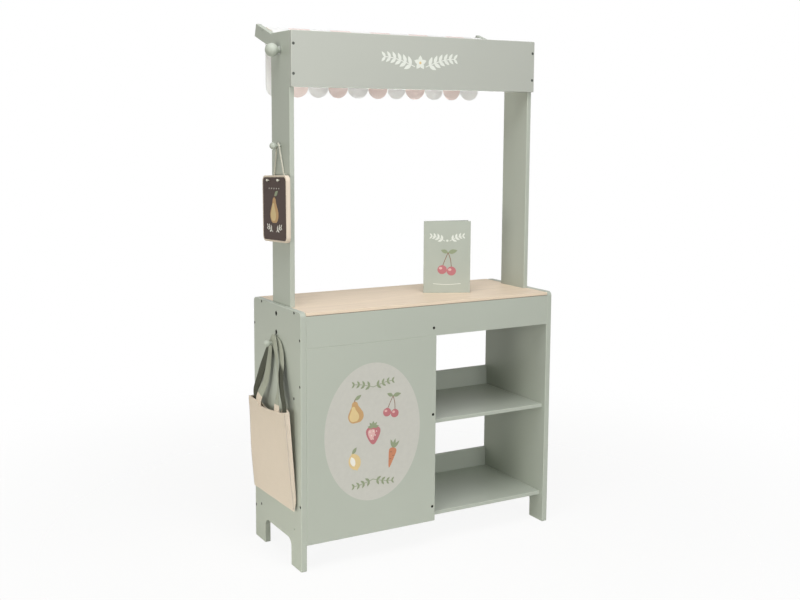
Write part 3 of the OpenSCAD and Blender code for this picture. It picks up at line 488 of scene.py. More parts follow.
def studio_floor():
    finish = Finish("studio_floor")
    x, y = finish.parts(finish.place(), 0, 1)
    gone = finish.fade((x * x + y * y).root(), FLOOR_CLEAR, FLOOR_GONE, kind="SMOOTHSTEP")
    seen = finish.node("ShaderNodeLightPath", out="Is Camera Ray")
    plain = finish.node("ShaderNodeBsdfDiffuse", {}, {"Color": tone(*FLOOR_TONE)})
    glow = finish.node("ShaderNodeEmission", {}, {"Strength": 1.0})
    lit = finish.node("ShaderNodeMixShader", {}, {0: FLOOR_GLOW * seen, 1: plain, 2: glow})
    clear = finish.node("ShaderNodeBsdfTransparent")
    shown = finish.node("ShaderNodeMixShader", {}, {0: gone, 1: lit, 2: clear})
    finish.feed(finish.tree.nodes["Material Output"].inputs["Surface"], shown)
    finish.tree.nodes.remove(finish.shader)
    return finish.material


def studio_world():
    finish = Finish("studio", bpy.data.worlds, "Background")
    rays = ("Is Camera Ray", "Is Glossy Ray", "Is Transmission Ray")
    camera_ray, glossy_ray, clear_ray = (finish.node("ShaderNodeLightPath", out=ray) for ray in rays)
    seen = camera_ray.most(glossy_ray).most(clear_ray)
    strength = AMBIENT + (1 - AMBIENT) * seen
    return finish.surface({"Color": finish.mix(seen, WARM_AIR, WHITE), "Strength": strength})


floor_mesh.materials.append(studio_floor())
bpy.context.scene.world = studio_world()
print("studio: ambient", AMBIENT)

# %% [markdown]
# The boards are MDF with a satin sprayed paint. Up close such paint has a fine orange-peel skin, its
# tone clouds a little over a large face, and the eased edges are painted paler: partly wear where the
# film is thin and hands rub it, partly a painted highlight where light catches the rounding. The
# `eased` value is painted on the rounded faces when the boards are made.

# %% Paint
SAGE = (181, 187, 177)
SIGN_SAGE = (180, 183, 176)


def paint(name, colour):
    finish = Finish(name)
    place = finish.place()
    cloud = finish.noise(place, 3.2, 3.0)
    peel = finish.noise(place, 520.0)
    # Paler eased edges: partly wear where hands rub, partly a painted highlight on the rounded edge.
    wear_and_highlight = finish.node("ShaderNodeAttribute", {"attribute_name": "eased"}, out="Fac")
    film = finish.shades(cloud, colour, 0.95, 1.05)
    return finish.surface({
        "Base Color": finish.mix(0.5 * wear_and_highlight, film, tone(*colour, 1.16)),
        "Roughness": 0.42 + 0.12 * cloud + 0.06 * wear_and_highlight,
        "Normal": finish.bump(peel, 0.00012),
        "Specular IOR Level": 0.4,
    })


sage_paint = paint("sage_paint", SAGE)
sign_paint = paint("sign_paint", SIGN_SAGE)
print("paints:", sage_paint.name, sign_paint.name)

# %% [markdown]
# The worktop, the tablet and the awning's slats are bare pale wood under a clear matt lacquer. Grain
# is noise that is stretched along the board: broad figure, fine fibres and a few short pores. The
# worktop is plywood; a thin dark line along the bottom of its edge is a painted shadow of the gap
# above the front rail.

# %% Wood
WORKTOP_WOOD = (236, 217, 195)
TABLET_WOOD = (228, 213, 196)
SLAT_WOOD = (222, 203, 176)
RING_TONES = ((0.3, 0.86), (0.46, 1.0), (0.54, 0.94), (0.72, 1.06))
# Height of the painted shadow line along the bottom of the worktop's edge, in millimetres.
SHADOW_LINE = 1.6


def wood(name, colour, along, shadow_line_below=0.0):
    """Pale wood whose grain runs along axis 0, 1 or 2, with a painted shadow line below a height."""
    finish = Finish(name)
    place = finish.place()
    figure_scale = [2.4 if axis == along else 34.0 for axis in range(3)]
    fibre_scale = [22.0 if axis == along else 620.0 for axis in range(3)]
    figure = finish.noise(finish.stretched(place, figure_scale), 1.0, 5.0, 1.1)
    fibre = finish.noise(finish.stretched(place, fibre_scale), 1.0, 3.0)
    stops = [(position, tone(*colour, scale)) for position, scale in RING_TONES]
    rings = finish.node("ShaderNodeValToRGB", {"stops": stops}, {0: figure})
    pores = finish.fade(fibre, 0.56, 0.74, 0.3)
    # Below a height the colour turns dark: a painted shadow line along the bottom of the worktop's edge.
    [height] = finish.parts(place, 2)
    face = finish.mix(pores, rings, tone(*colour, 0.62))
    return finish.surface({
        "Base Color": finish.mix(0.8 * (height < shadow_line_below), face, tone(*colour, 0.2)),
        "Roughness": 0.46 + 0.16 * fibre,
        "Normal": finish.bump(fibre + 0.4 * figure, 0.00012),
        "Specular IOR Level": 0.4,
    })


worktop_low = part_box("worktop")[0]
# The worktop gets a painted shadow line along the bottom of its edge.
worktop_wood = wood("worktop_wood", WORKTOP_WOOD, 0, worktop_low.z + SHADOW_LINE * MM)
tablet_wood = wood("tablet_wood", TABLET_WOOD, 2)
slat_wood = wood("slat_wood", SLAT_WOOD, 0)
print("woods:", worktop_wood.name, tablet_wood.name, slat_wood.name)

# %% [markdown]
# The screws are blackened steel and the pivot hardware is bright zinc plate. Both are metals with a
# soft patchy gloss. Of the left gable's screws, the one low at the front takes the gable's paint.

# %% Metals
BLACKENED, GREY, ZINC = (52, 51, 47), (92, 95, 90), (196, 197, 194)
SPRAYED_BELOW, SPRAYED_BEFORE = 0.1, -0.07


def metal(name, colour, roughness, part_sprayed=False):
    """A metal, or one with the paint where it is both low and near the front."""
    finish = Finish(name)
    place = finish.place()
    patch = finish.noise(place, 260.0, 4.0)
    gloss = {"Roughness": roughness - 0.1 + 0.2 * patch, "Normal": finish.bump(patch, 0.00005)}
    if not part_sprayed:
        bare = finish.shades(patch, colour, 0.8, 1.2)
        return finish.surface({"Base Color": bare, "Metallic": 1.0, **gloss})
    y, z = finish.parts(place, 1, 2)
    sprayed = (z < SPRAYED_BELOW) * (y < SPRAYED_BEFORE)
    colours = finish.mix(sprayed, tone(*colour), tone(*SAGE))
    return finish.surface({"Base Color": colours, "Metallic": 1.0 - sprayed, **gloss})


gable_steel = metal("gable_steel", BLACKENED, 0.5, part_sprayed=True)
dark_steel = metal("dark_steel", BLACKENED, 0.5)
grey_steel = metal("grey_steel", GREY, 0.5)
zinc = metal("zinc", ZINC, 0.32)
print("metals:", gable_steel.name, dark_steel.name, grey_steel.name, zinc.name)

# %% [markdown]
# A board straight from CAD has edges sharp enough to cut, and no light catches on them. On a real toy
# the router eases every long edge by about a millimetre. `eased` copies a node's mesh, merges
# the flat triangles, rounds the long edges and leaves the small screw holes alone. Weighted normals
# keep the broad faces flat.

# %% Eased boards
WELD = 1e-6
FLAT, SHARP, SHADE_SHARP = (math.radians(angle) for angle in (0.3, 35, 40))
SMALLEST_OUTLINE = 0.022


def long_edges(board):
    """The sharp outer edges of a board, without the rims of small holes."""
    inner = [e for e in board.edges if len(e.link_faces) == 2]
    waiting = {e for e in inner if e.is_convex and e.calc_face_angle() > SHARP}
    chosen = []
    while waiting:
        group, reach = [], [waiting.pop()]
        while reach:
            edge = reach.pop()
            group.append(edge)
            for near in {e for v in edge.verts for e in v.link_edges} & waiting:
                waiting.discard(near)
                reach.append(near)
        spots = np.array([v.co for e in group for v in e.verts])
        if np.linalg.norm(spots.max(0) - spots.min(0)) > SMALLEST_OUTLINE:
            chosen += group
    return chosen


def eased(node, radius, finish, slot):
    """A board piece with rounded edges that stands for a CAD node."""
    board = bmesh.new()
    board.from_mesh(frame["nodes"][node].data)
    bmesh.ops.remove_doubles(board, verts=board.verts, dist=WELD)
    bmesh.ops.dissolve_limit(board, angle_limit=FLAT, verts=board.verts, edges=board.edges)
    mark = board.faces.layers.float.new("eased")
    rounded = bmesh.ops.bevel(
        board,
        geom=long_edges(board),
        offset=radius * MM,
        segments=3,
        profile=0.5,
        affect="EDGES",
        clamp_overlap=True,
    )
    for face in rounded["faces"]:
        face[mark] = 1.0
    mesh = bpy.data.meshes.new(node + "_board")
    board.to_mesh(mesh)
    board.free()
    mesh.materials.append(finish)
    mesh.shade_smooth()
    mesh.set_sharp_from_angle(angle=SHADE_SHARP)
    piece = new_object(node + "_board", mesh)
    even = piece.modifiers.new("even_faces", "WEIGHTED_NORMAL")
    even.keep_sharp = True
    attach(piece, BODY_OF[node])
    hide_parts(node)


BOARDS = {
    "left_gable": 1.2, "right_gable": 1.2, "front_rail": 0.9, "front_panel": 0.9, "divider": 0.8,
    "right_middle_shelf": 0.9, "right_bottom_shelf": 0.9, "left_middle_shelf": 0.9, "left_bottom_shelf": 0.9,
    "top_back_rail": 0.9, "middle_back_rail": 0.9, "bottom_back_rail": 0.9,
    "left_post": 1.2, "right_post": 1.2, "left_arm": 1.2, "right_arm": 1.2,
}
for node, radius in BOARDS.items():
    eased(node, radius, sage_paint, "sage_paint")
OTHER_BOARDS = [
    ("sign_board", 1.2, sign_paint, "sign_paint"),
    ("worktop", 0.7, worktop_wood, "bare_wood"),
    ("front_slat", 1.0, slat_wood, "bare_wood"),
    ("rear_slat", 1.0, slat_wood, "bare_wood"),
    ("menu_tablet", 1.1, tablet_wood, "bare_wood"),
]
for board in OTHER_BOARDS:
    eased(*board)
print("eased boards:", len(BOARDS) + len(OTHER_BOARDS))

# %% [markdown]
# Screws, bolts, nuts and washers, the turned pegs and the ball knobs already have their true shape in
# CAD, so they only take their finish. The slats' screws take the arms' paint.

# %% Fasteners, pegs and knobs


def dress(nodes, finish):
    for node in nodes:
        materials = frame["nodes"][node].data.materials
        materials.clear()
        materials.append(finish)


SMALL_PARTS = [
    (["right_gable_screws", "divider_screws", "front_screws", "rear_screws", "post_bolts"], dark_steel),
    (["left_gable_screws"], gable_steel),
    (["sign_screws"], grey_steel),
    (["post_nuts", "knob_washers", "tee_nuts", "left_pivot_bolt", "right_pivot_bolt"], zinc),
    (["tablet_peg", "bag_peg", "left_knob", "right_knob", "slat_screws"], sage_paint),
]
for nodes, finish in SMALL_PARTS:
    dress(nodes, finish)
print("dressed:", sum(len(nodes) for nodes, _ in SMALL_PARTS), "nodes")

# %% [markdown]
# The awning is one strip of cotton: it is tacked round the front slat, sags a little between the
# slats, goes over the rear slat and hangs down as a valance with eleven scallops, white and blush in
# turn. It is made as a grid of points, so that stripes, weave and hem can follow the cloth.

# %% The awning's profile
TILT = math.radians(18.4)
PIVOT_Z = 1020.0
CLOTH_W, CLOTH_T = 528.0, 1.2
STRIPES = 11
STRIPE_W = CLOTH_W / STRIPES
SAG = 4.0
SLAT_TOP = 11.75 + CLOTH_T / 2
FRONT_U, SAG_START, SAG_END, REAR_U = 17.4, 46.0, 107.0, 135.6
CORNER = 1.6
HEM_V = 1.36


def tilted(u, v):
    """A point along the arms and square to them, as (y, z) of the stall."""
    return u * math.cos(TILT) - v * math.sin(TILT), PIVOT_Z + u * math.sin(TILT) + v * math.cos(TILT)


def corner_arc(u, v, start):
    """A quarter turn round a slat's edge, from a start angle in degrees."""
    angles = [math.radians(start - 22.5 * i) for i in range(5)]
    return [(u + CORNER * math.cos(a), v + CORNER * math.sin(a)) for a in angles]


def sagging(share):
    """A point of the free cloth between the slats."""
    return SAG_START + (SAG_END - SAG_START) * share, SLAT_TOP - 4 * SAG * share * (1 - share)


sag_run = [sagging(share) for share in np.linspace(0, 1, 15)]
hem_y, hem_z = tilted(REAR_U, HEM_V)
roof_profile = (
    [(FRONT_U, v) for v in (2.75, 5.5, 8.0)]
    + corner_arc(FRONT_U + CORNER, SLAT_TOP - CORNER, 180)
    + [(u, SLAT_TOP) for u in (26.0, 36.0)]
    + sag_run
    + [(u, SLAT_TOP) for u in (117.0, 126.0)]
    + corner_arc(REAR_U - CORNER, SLAT_TOP - CORNER, 90)
    + [(REAR_U, v) for v in (8.0, 5.5, 3.4)]
)
print("roof profile:", len(roof_profile), "points")

# %% The awning's grid
STRIPE_STEPS, VALANCE_ROWS = 12, 22
DROP, SCALLOP = 109.0, 23.0
SWAY, FOLDS = 2.4, 7
SLACK, PUCKER, RIPPLE, CURL = 1.1, 0.35, 0.5, 1.2
CURL_FROM = 0.8
ROOF_MIDDLE = (SAG_START + SAG_END) / 2


def awning_column(stripe, step):
    """Points down one thread, from the front tack to the scallop's edge, and the valance's length there."""
    turn = math.pi * step / STRIPE_STEPS
    x = -CLOTH_W / 2 + STRIPE_W * (stripe + (1 - math.cos(turn)) / 2)
    bay = math.sin(math.pi * (x / CLOTH_W + 0.5))
    column = []
    for u, v in roof_profile:
        slack = SLACK * (bay - 1.0) if SAG_START < u < SAG_END else 0.0
        pucker = PUCKER * math.sin(x * 0.31) * max(0.0, 1 - abs(u - ROOF_MIDDLE) / 40)
        column.append((x, *tilted(u, v - slack + pucker)))
    length = DROP + SCALLOP * math.sin(turn)
    for row in range(VALANCE_ROWS + 1):
        share = row / VALANCE_ROWS
        sway = SWAY * math.sin(math.pi * FOLDS * (x / CLOTH_W + 0.5)) * share**1.5
        ripple = RIPPLE * math.sin(x * 0.19 + 1.3) * math.sin(math.pi * share)
        curl = CURL * math.sin(turn) * (max(0.0, share - CURL_FROM) / (1 - CURL_FROM)) ** 2
        column.append((x, hem_y + sway + ripple + curl, hem_z - share * length))
    return column, length


columns = []
for stripe in range(STRIPES):
    columns += [awning_column(stripe, step) for step in range(STRIPE_STEPS)]
columns.append(awning_column(STRIPES - 1, STRIPE_STEPS))
print("awning grid:", len(columns), "by", len(columns[0][0]))

# %% [markdown]
# Cloth has two sides and a cut edge. `closed_sheet` moves a grid half a thickness each way along its
# normals and joins the two grids round the rim, which also makes a clean solid.

# %% Closing a sheet


def closed_sheet(grid, thickness):
    """Points and faces of a thin solid round a grid of points; the front side comes first."""
    grid = np.array(grid, float)
    normal = np.cross(np.gradient(grid, axis=0), np.gradient(grid, axis=1))
    normal /= np.linalg.norm(normal, axis=2, keepdims=True)
    cols, rows = grid.shape[:2]
    count = cols * rows
    half = normal * thickness / 2
    points = np.concatenate([(grid + half).reshape(-1, 3), (grid - half).reshape(-1, 3)])
    faces = []
    for c in range(cols - 1):
        for r in range(rows - 1):
            a, b = c * rows + r, (c + 1) * rows + r
            faces.append((a, b, b + 1, a + 1))
            faces.append((count + a, count + a + 1, count + b + 1, count + b))
    rim = (
        [c * rows for c in range(cols)]
        + [(cols - 1) * rows + r for r in range(1, rows)]
        + [c * rows + rows - 1 for c in range(cols - 2, -1, -1)]
        + list(range(rows - 2, 0, -1))
    )
    for a, b in zip(rim, rim[1:] + rim[:1]):
        faces.append((a, count + a, count + b, b))
    return points, faces


cloth = closed_sheet([column for column, _ in columns], CLOTH_T)
print("awning cloth:", len(cloth[1]), "faces")

# %% [markdown]
# The cotton is a plain weave with printed stripes, and the scallops have a turned hem with a row of
# stitches about 4 mm from the edge. Two maps carry this: `flat` is the place on the uncut strip, and `hem`
# is the distance from the scalloped edge.

# %% Striped cotton
CLOTH_WHITE, WHITE_SHADE = (250, 250, 252), (232, 232, 235)
CLOTH_BLUSH, BLUSH_SHADE = (245, 225, 222), (226, 198, 194)
HEM_THREAD = (250, 250, 248)
HEM_LINE, HEM_LINE_HALF, HEM_PITCH, HEM_FOLD = 0.0042, 0.0004, 0.0034, 0.0058
THREAD = 2 * math.pi / 0.0011


def striped_cotton(name):
    finish = Finish(name)
    flat = finish.flat()
    across, along = finish.parts(flat, 0, 1)
    edge, run = finish.parts(finish.flat("hem"), 0, 1)
    blush = (across / (STRIPE_W * MM)) % 2.0 > 1.0
    slub = finish.noise(finish.stretched(flat, (900, 40, 1)), 1.0, 3.0)
    stitch = (abs(edge - HEM_LINE) < HEM_LINE_HALF) * ((run / HEM_PITCH) % 1.0 < 0.68)
    fold = edge < HEM_FOLD
    weave = (across * THREAD).sine() * (along * THREAD).sine()
    stripes = finish.mix(blush, tone(*CLOTH_WHITE), tone(*CLOTH_BLUSH))
    shades = finish.mix(blush, tone(*WHITE_SHADE), tone(*BLUSH_SHADE))
    threads = finish.mix(0.10 + 0.10 * slub, stripes, shades)
    return finish.surface({
        "Base Color": finish.mix(0.35 * stitch, threads, tone(*HEM_THREAD)),
        "Roughness": 0.86 - 0.06 * slub,
        "Normal": finish.bump(weave + 1.6 * slub + 3.0 * fold - 2.0 * stitch, 0.00006),
        "Sheen Weight": 0.12,
        "Specular IOR Level": 0.2,
        "Subsurface Weight": 0.5,
        "Subsurface Scale": 0.004,
        "Subsurface Radius": (1.0, 1.0, 1.0),
    })


flat_map, hem_map = [], []
for column, length in columns:
    run = 0.0
    for r, point in enumerate(column):
        run += math.dist(point, column[r - 1]) if r else 0.0
        valance_row = max(0, r - len(roof_profile))
        across = (point[0] + CLOTH_W / 2) * MM
        flat_map.append((across, run * MM))
        hem_map.append(((1 - valance_row / VALANCE_ROWS) * length * MM, across))
cloth_length = max(v for _, v in flat_map)
print("cloth strip:", round(CLOTH_W * MM, 3), "by", round(cloth_length, 3), "m")

# %% Hang the awning
awning = add_piece(
    "awning_cloth",
    cloth,
    "awning",
    ["awning_roof", "awning_valance"],
    {"flat": flat_map * 2, "hem": hem_map * 2},
)
awning.data.materials.append(striped_cotton("striped_cotton"))
awning.parent = None
at(0, hem_y - 0.5, hem_z + 1.0)
at(0, hem_y + 2.5, hem_z - 6.0)
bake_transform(awning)
print("awning hung on the slats")

# %% [markdown]
# The tote is natural canvas, sewn flat, and hangs thin on its handles with the mouth leaning out from
# the gable. Five plates would look like a box, so the walls are lofted rings: the two walls meet in a
# seam at the bottom, part a little higher up, and their edges rise at the handles and dip between
# them. A belly, soft creases and pull lines keep the walls from looking stiff.

# %% The bag's walls
BAG_W, BAG_MOUTH_W, BAG_H = 200.0, 184.0, 195.0
BAG_BASE_T, BAG_MOUTH_T, BAG_LEAN, BAG_SEAM_T = 8.0, 10.0, 12.0, 2.6
BAG_PINCH, BAG_WALL, BAG_GAP = 1.6, 1.6, 1.0
BAG_LOW_Z = 119.0
BELLY, BULGE, PULL, CREASE = 1.6, 2.2, 2.1, 0.5
OUTER_EDGE = [
    # y from the bag's middle, lift of the edge
    (-92, 5.5), (-77, 2.2), (-67, 0.3), (-42, -2.2), (-17, -5.3), (9, -7.9), (28, -8.7), (42, -6.6),
    (50, -1.2), (68, -0.4), (92, 0.0),
]
INNER_EDGE = [
    (-92, 5.5), (-84, 8), (-77, 11), (-70, 8.5), (-62, 4), (-45, -8), (-20, -14), (10, -14), (35, -10),
    (55, -2), (70, 4), (80, 3), (92, 0.0),
]


def eased_step(x, low, high):
    """A soft step from 0 to 1."""
    t = min(1.0, max(0.0, (x - low) / (high - low)))
    return t * t * (3 - 2 * t)


def bump_at(x, middle, width):
    """A soft bump of height 1."""
    return math.exp(-(((x - middle) / width) ** 2))


def wall_relief(c, s):
    """How far the outer wall stands out, where c runs across from -1 to 1 and s up from 0 to 1."""
    belly = BELLY * (1 - c * c) * math.sin(math.pi * s) ** 1.2
    rear_bulge = BULGE * eased_step(c, 0.2, 0.9) * bump_at(s, 0.42, 0.3)
    middles = [side * 47 + lean * (1 - s) * 60 for side in (-1, 1) for lean in (-0.35, 0.3)]
    pulls = PULL * s * (1 - s) * sum(bump_at(c * BAG_MOUTH_W / 2, middle, 7) for middle in middles)
    creases = CREASE * math.sin(9 * s + 3 * c) * math.sin(5 * c + 1.0) * (1 - s)
    return belly + rear_bulge - pulls + creases


def edge_lift(edge, c, s):
    """How far a wall's line is drawn up or hangs down, most of all at its upper edge."""
    places, lifts = zip(*edge)
    return float(np.interp(c * BAG_MOUTH_W / 2, places, lifts)) * s**4


print("bag: walls ready")

# %% The bag's rings
WALL_STEPS, SIDE_STEPS, BAG_ROWS = 46, 6, 44
HEM_SHARE, HEM_T = 0.9, 0.4
FRONT_RISE = 2.5
FLOOR_SHARE = 0.085


def wall_out(s, outer):
    """Distance from the gable to a wall's outer face, or to its face at the gable."""
    back = BAG_GAP + BAG_LEAN * s
    if outer:
        return back + BAG_BASE_T + (BAG_MOUTH_T - BAG_BASE_T) * s
    return back + (BAG_BASE_T - BAG_SEAM_T) * (1 - eased_step(s, 0.0, 0.14))


def bag_ring(s, inset):
    """One closed ring round the bag, as distance from the gable, y and z."""
    half_w = (BAG_W + (BAG_MOUTH_W - BAG_W) * s) / 2 - inset
    base_z = BAG_LOW_Z + inset + s * (BAG_H - inset)
    hem = 0.0 if inset else HEM_T * eased_step(s, HEM_SHARE - 0.012, HEM_SHARE + 0.004)

    def wall_point(c, outer):
        lift = edge_lift(OUTER_EDGE if outer else INNER_EDGE, c, s) - FRONT_RISE * c * (1 - s) ** 2
        out = wall_out(min(1.1, max(0.0, s + lift / BAG_H)), outer)
        if outer:
            return out - inset + hem + wall_relief(c, s), c * half_w, base_z + lift
        return out + inset, c * half_w, base_z + lift

    def side_points(first, last, sign):
        for i in range(1, SIDE_STEPS):
            t = i / SIDE_STEPS
            fold = BAG_PINCH * s * (1 - abs(2 * t - 1)) ** 1.3
            p, y, z = (a + (b - a) * t for a, b in zip(first, last))
            yield p, y + sign * fold, z

    outer_wall = [wall_point(1 - 2 * i / WALL_STEPS, True) for i in range(WALL_STEPS + 1)]
    inner_wall = [wall_point(2 * i / WALL_STEPS - 1, False) for i in range(WALL_STEPS + 1)]
    front_side = list(side_points(outer_wall[-1], inner_wall[0], 1))
    rear_side = list(side_points(inner_wall[-1], outer_wall[0], -1))
    return outer_wall + front_side + inner_wall + rear_side


shares = [0.0, 0.008] + [i / BAG_ROWS for i in range(1, BAG_ROWS + 1)]
outside = [bag_ring(s, 0.0) for s in shares]
inside = [bag_ring(s, BAG_WALL) for s in reversed(shares) if s > FLOOR_SHARE]
bag_rings = outside + inside
bag_points, bag_faces = loft(bag_rings)
print("bag:", len(bag_rings), "rings of", len(bag_rings[0]))

# %% [markdown]
# Natural canvas is a coarse plain weave in oatmeal yarn, with thicker slubs and a few dark specks.
# Under the mouth is a folded hem with two rows of stitches, which are real little threads here.

# %% Canvas
CANVAS = (228, 214, 198)


def woven(name, colour, pitch, speck, depth):
    finish = Finish(name)
    flat = finish.flat()
    across, along = finish.parts(flat, 0, 1)
    count = 2 * math.pi / pitch
    weave = (across * count).sine() * (along * count).sine()
    warp = finish.noise(finish.stretched(flat, (1.2 / pitch, 30, 1)), 1.0, 2.0)
    weft = finish.noise(finish.stretched(flat, (30, 1.2 / pitch, 1)), 1.0, 2.0)
    specks = finish.noise(finish.stretched(flat, (700, 700, 1)), 1.0, 1.0) > 0.735
    yarn = finish.shades(0.5 * warp + 0.5 * weft, colour, 0.86, 1.1)
    return finish.surface({
        "Base Color": finish.mix(speck * specks, yarn, tone(*colour, 0.4)),
        "Roughness": 0.9 - 0.08 * warp,
        "Normal": finish.bump(weave + 1.2 * warp + 1.2 * weft, depth),
        "Sheen Weight": 0.15,
        "Specular IOR Level": 0.2,
    })


def beside_gable(p, y, z):
    """A point by its distance out from the left gable."""
    return at(-HALF_WIDTH - p, y, z)


canvas = woven("canvas", CANVAS, pitch=0.0012, speck=0.4, depth=0.00012)
bag = add_piece(
    "canvas_bag",
    (bag_points, bag_faces),
    "bag",
    ["bag_body"],
    {"flat": [((y + p) * MM, z * MM) for p, y, z in bag_points]},
    place=beside_gable,
)
bag.data.materials.append(canvas)
print("bag hung:", len(bag.data.polygons), "faces")

# %% Stitches
STITCH, STITCH_GAP, THREAD_R = 3.0, 1.3, 0.28
TOP_LINE = 0.985


def stitch_row(path, normal):
    """Short threads along a path, each a small bead that dips into the cloth at its ends."""
    path = [np.array(p, float) for p in path]
    normal = np.array(normal, float)
    runs = np.cumsum([0.0] + [float(np.linalg.norm(b - a)) for a, b in zip(path, path[1:])])

    def bead_point(start, t):
        spot = np.array([np.interp(start + STITCH * t, runs, [p[k] for p in path]) for k in range(3)])
        return spot + normal * THREAD_R * (1.5 * math.sin(math.pi * t) - 0.4)

    threads = []
    start = 1.0
    while start + STITCH < runs[-1]:
        bead = [bead_point(start, t) for t in (0.0, 0.25, 0.5, 0.75, 1.0)]
        threads.append(loft(tube(bead, THREAD_R, 5)))
        start += STITCH + STITCH_GAP
    return threads


def wall_line(s):
    """The outer wall's line at a share of its height."""
    return [(p + 0.05, y, z) for p, y, z in bag_ring(s, 0.0)[1:WALL_STEPS]]


def corner_line(column):
    return [bag_ring(s, 0.0)[column] for s in np.linspace(0.02, TOP_LINE, 60)]


hem_threads = stitch_row(wall_line(HEM_SHARE + 0.016), (1, 0, 0)) + stitch_row(wall_line(TOP_LINE), (1, 0, 0))
seam_threads = stitch_row(corner_line(WALL_STEPS), (0.7, -0.7, 0)) + stitch_row(corner_line(0), (0.7, 0.7, 0))
stitches = []
for name, threads in (("bag_stitches", hem_threads), ("bag_seams", seam_threads)):
    stitches.append(add_piece(name, join(threads), "bag", place=beside_gable))
    print(name + ":", len(threads))

# %% [markdown]
# Two handles of sage webbing are sewn inside the walls and hang over the peg, the outer one in front.
# Webbing is stiff, so each makes an arch whose face looks out from the gable and tilts up a little where
# it rests on the peg. A route is a table of stations, and a smooth curve through them gives the rings of
# the band.

# %% The handles' routes
OUTER_ROUTE = [
    # out from the gable, y, z, width, tilt up, turn to the rear
    (18.7, 47, 290, 24, 0, 0), (20.3, 46, 314, 22, 0, 0), (17.0, 40, 332, 20, 0, -4),
    (12.0, 29, 355, 19, 0, -8), (9.8, 21, 382, 18, 4, -8), (8.6, 14, 412, 17, 10, -4),
    (8.2, 8, 438, 17, 16, 0), (7.5, 0, 450.6, 17, 20, 0), (8.4, -12, 440, 17, 16, 0),
    (9.6, -24, 414, 17, 8, 12), (11.6, -34, 386, 17, 0, 20), (14.6, -41, 358, 19, 0, 20),
    (19.4, -46, 332, 22, 0, 6), (20.3, -47, 314, 23, 0, 0), (18.7, -47, 290, 24, 0, 0),
]
INNER_ROUTE = [
    (14.2, 72, 290, 24, 0, 0), (14.8, 75, 314, 15, 0, -10), (13.4, 77, 330, 15, 0, -14),
    (10.2, 69, 350, 20, 0, -6), (7.8, 57, 375, 24, 0, 0), (6.0, 43, 398, 24, 2, 0),
    (4.4, 31, 420, 21, 4, 0), (3.0, 17, 439, 16, 6, 0), (2.5, 0, 448.4, 13, 8, 0),
    (3.0, -21, 442, 16, 6, 0), (4.6, -35, 424, 20, 4, 0), (7.4, -43, 402, 22, 2, 0),
    (12.0, -49, 378, 22, 0, 0), (14.8, -61, 350, 20, 0, 0), (16.0, -72, 330, 17, 0, 0),
    (15.6, -74, 314, 19, 0, 0), (14.2, -72, 290, 24, 0, 0),
]
ROUTE_STEP = 3.0
outer_route = smooth_path(OUTER_ROUTE, ROUTE_STEP)
inner_route = smooth_path(INNER_ROUTE, ROUTE_STEP)
print("handles:", len(outer_route), "and", len(inner_route), "stations")

# %% The handles
STRAP_T = 1.5
FLAT_MIDDLE = 30.0
# Half of the band's outline, in shares of its half width and half thickness.
BAND_EDGE = [(-1, 0.35), (-0.94, 1), (-0.5, 1), (0, 1), (0.5, 1), (0.94, 1), (1, 0.35)]
BAND_OUTLINE = BAND_EDGE + [(-a, -b) for a, b in BAND_EDGE]


def band(route, extra_w=0.0, extra_t=0.0):
    """Rings of a flat band along a route, with rounded edges, and each point's place on the flat band."""
    path = [station[:3] for station in route]
    rings, flat, run = [], [], 0.0
    for i, (forward, (_, _, _, width, tilt, twist)) in enumerate(zip(headings(path), route)):
        run += float(np.linalg.norm(path[i] - path[i - 1])) if i else 0.0
        tilt, twist = math.radians(tilt), math.radians(twist)
        face = (math.cos(tilt) * math.cos(twist), math.cos(tilt) * math.sin(twist), math.sin(tilt))
        side = np.cross(face, forward)
        side /= np.linalg.norm(side)
        up = np.cross(forward, side)
        half_w, half_t = (width + extra_w) / 2, (STRAP_T + extra_t) / 2
        rings.append([path[i] + side * half_w * a + up * half_t * b for a, b in BAND_OUTLINE])
        flat += [((half_w * a + FLAT_MIDDLE) * MM, run * MM) for a, _ in BAND_OUTLINE]
    return rings, flat


handles = []
for name, route in (("outer_handle", outer_route), ("inner_handle", inner_route)):
    rings, strap_flat = band(route)
    maps = {"flat": strap_flat}
    strap = add_piece(name + "_strap", loft(rings), "bag", [name], maps, place=beside_gable)
    handles.append(strap)
print("handles:", [h.name for h in handles])

# %% [markdown]
# Webbing is woven as a fine twill, whose ribs run slantwise and turn back every 3 mm. The outer handle
# is pale. The inner one is dark, and where it lies on the peg its top is painted in the outer handle's
# pale tone: painted light. Tabs of the bag's own canvas cover the outer handle's sewn ends.

# %% Webbing and tabs
OUTER_WEBBING = (176, 180, 165)
INNER_WEBBING = (80, 82, 70)
# Where the painted light on the inner handle's top begins, its slope along y and its blend, in metres.
LIT_TOP_FROM, LIT_TOP_SLOPE, LIT_TOP_BLEND = 0.4284, 0.43, 0.006
ZIGZAG, RIB = 0.006, 0.0016
TAB_TOP, TAB_EXTRA_W, TAB_EXTRA_T = 327.0, 1.2, 0.5


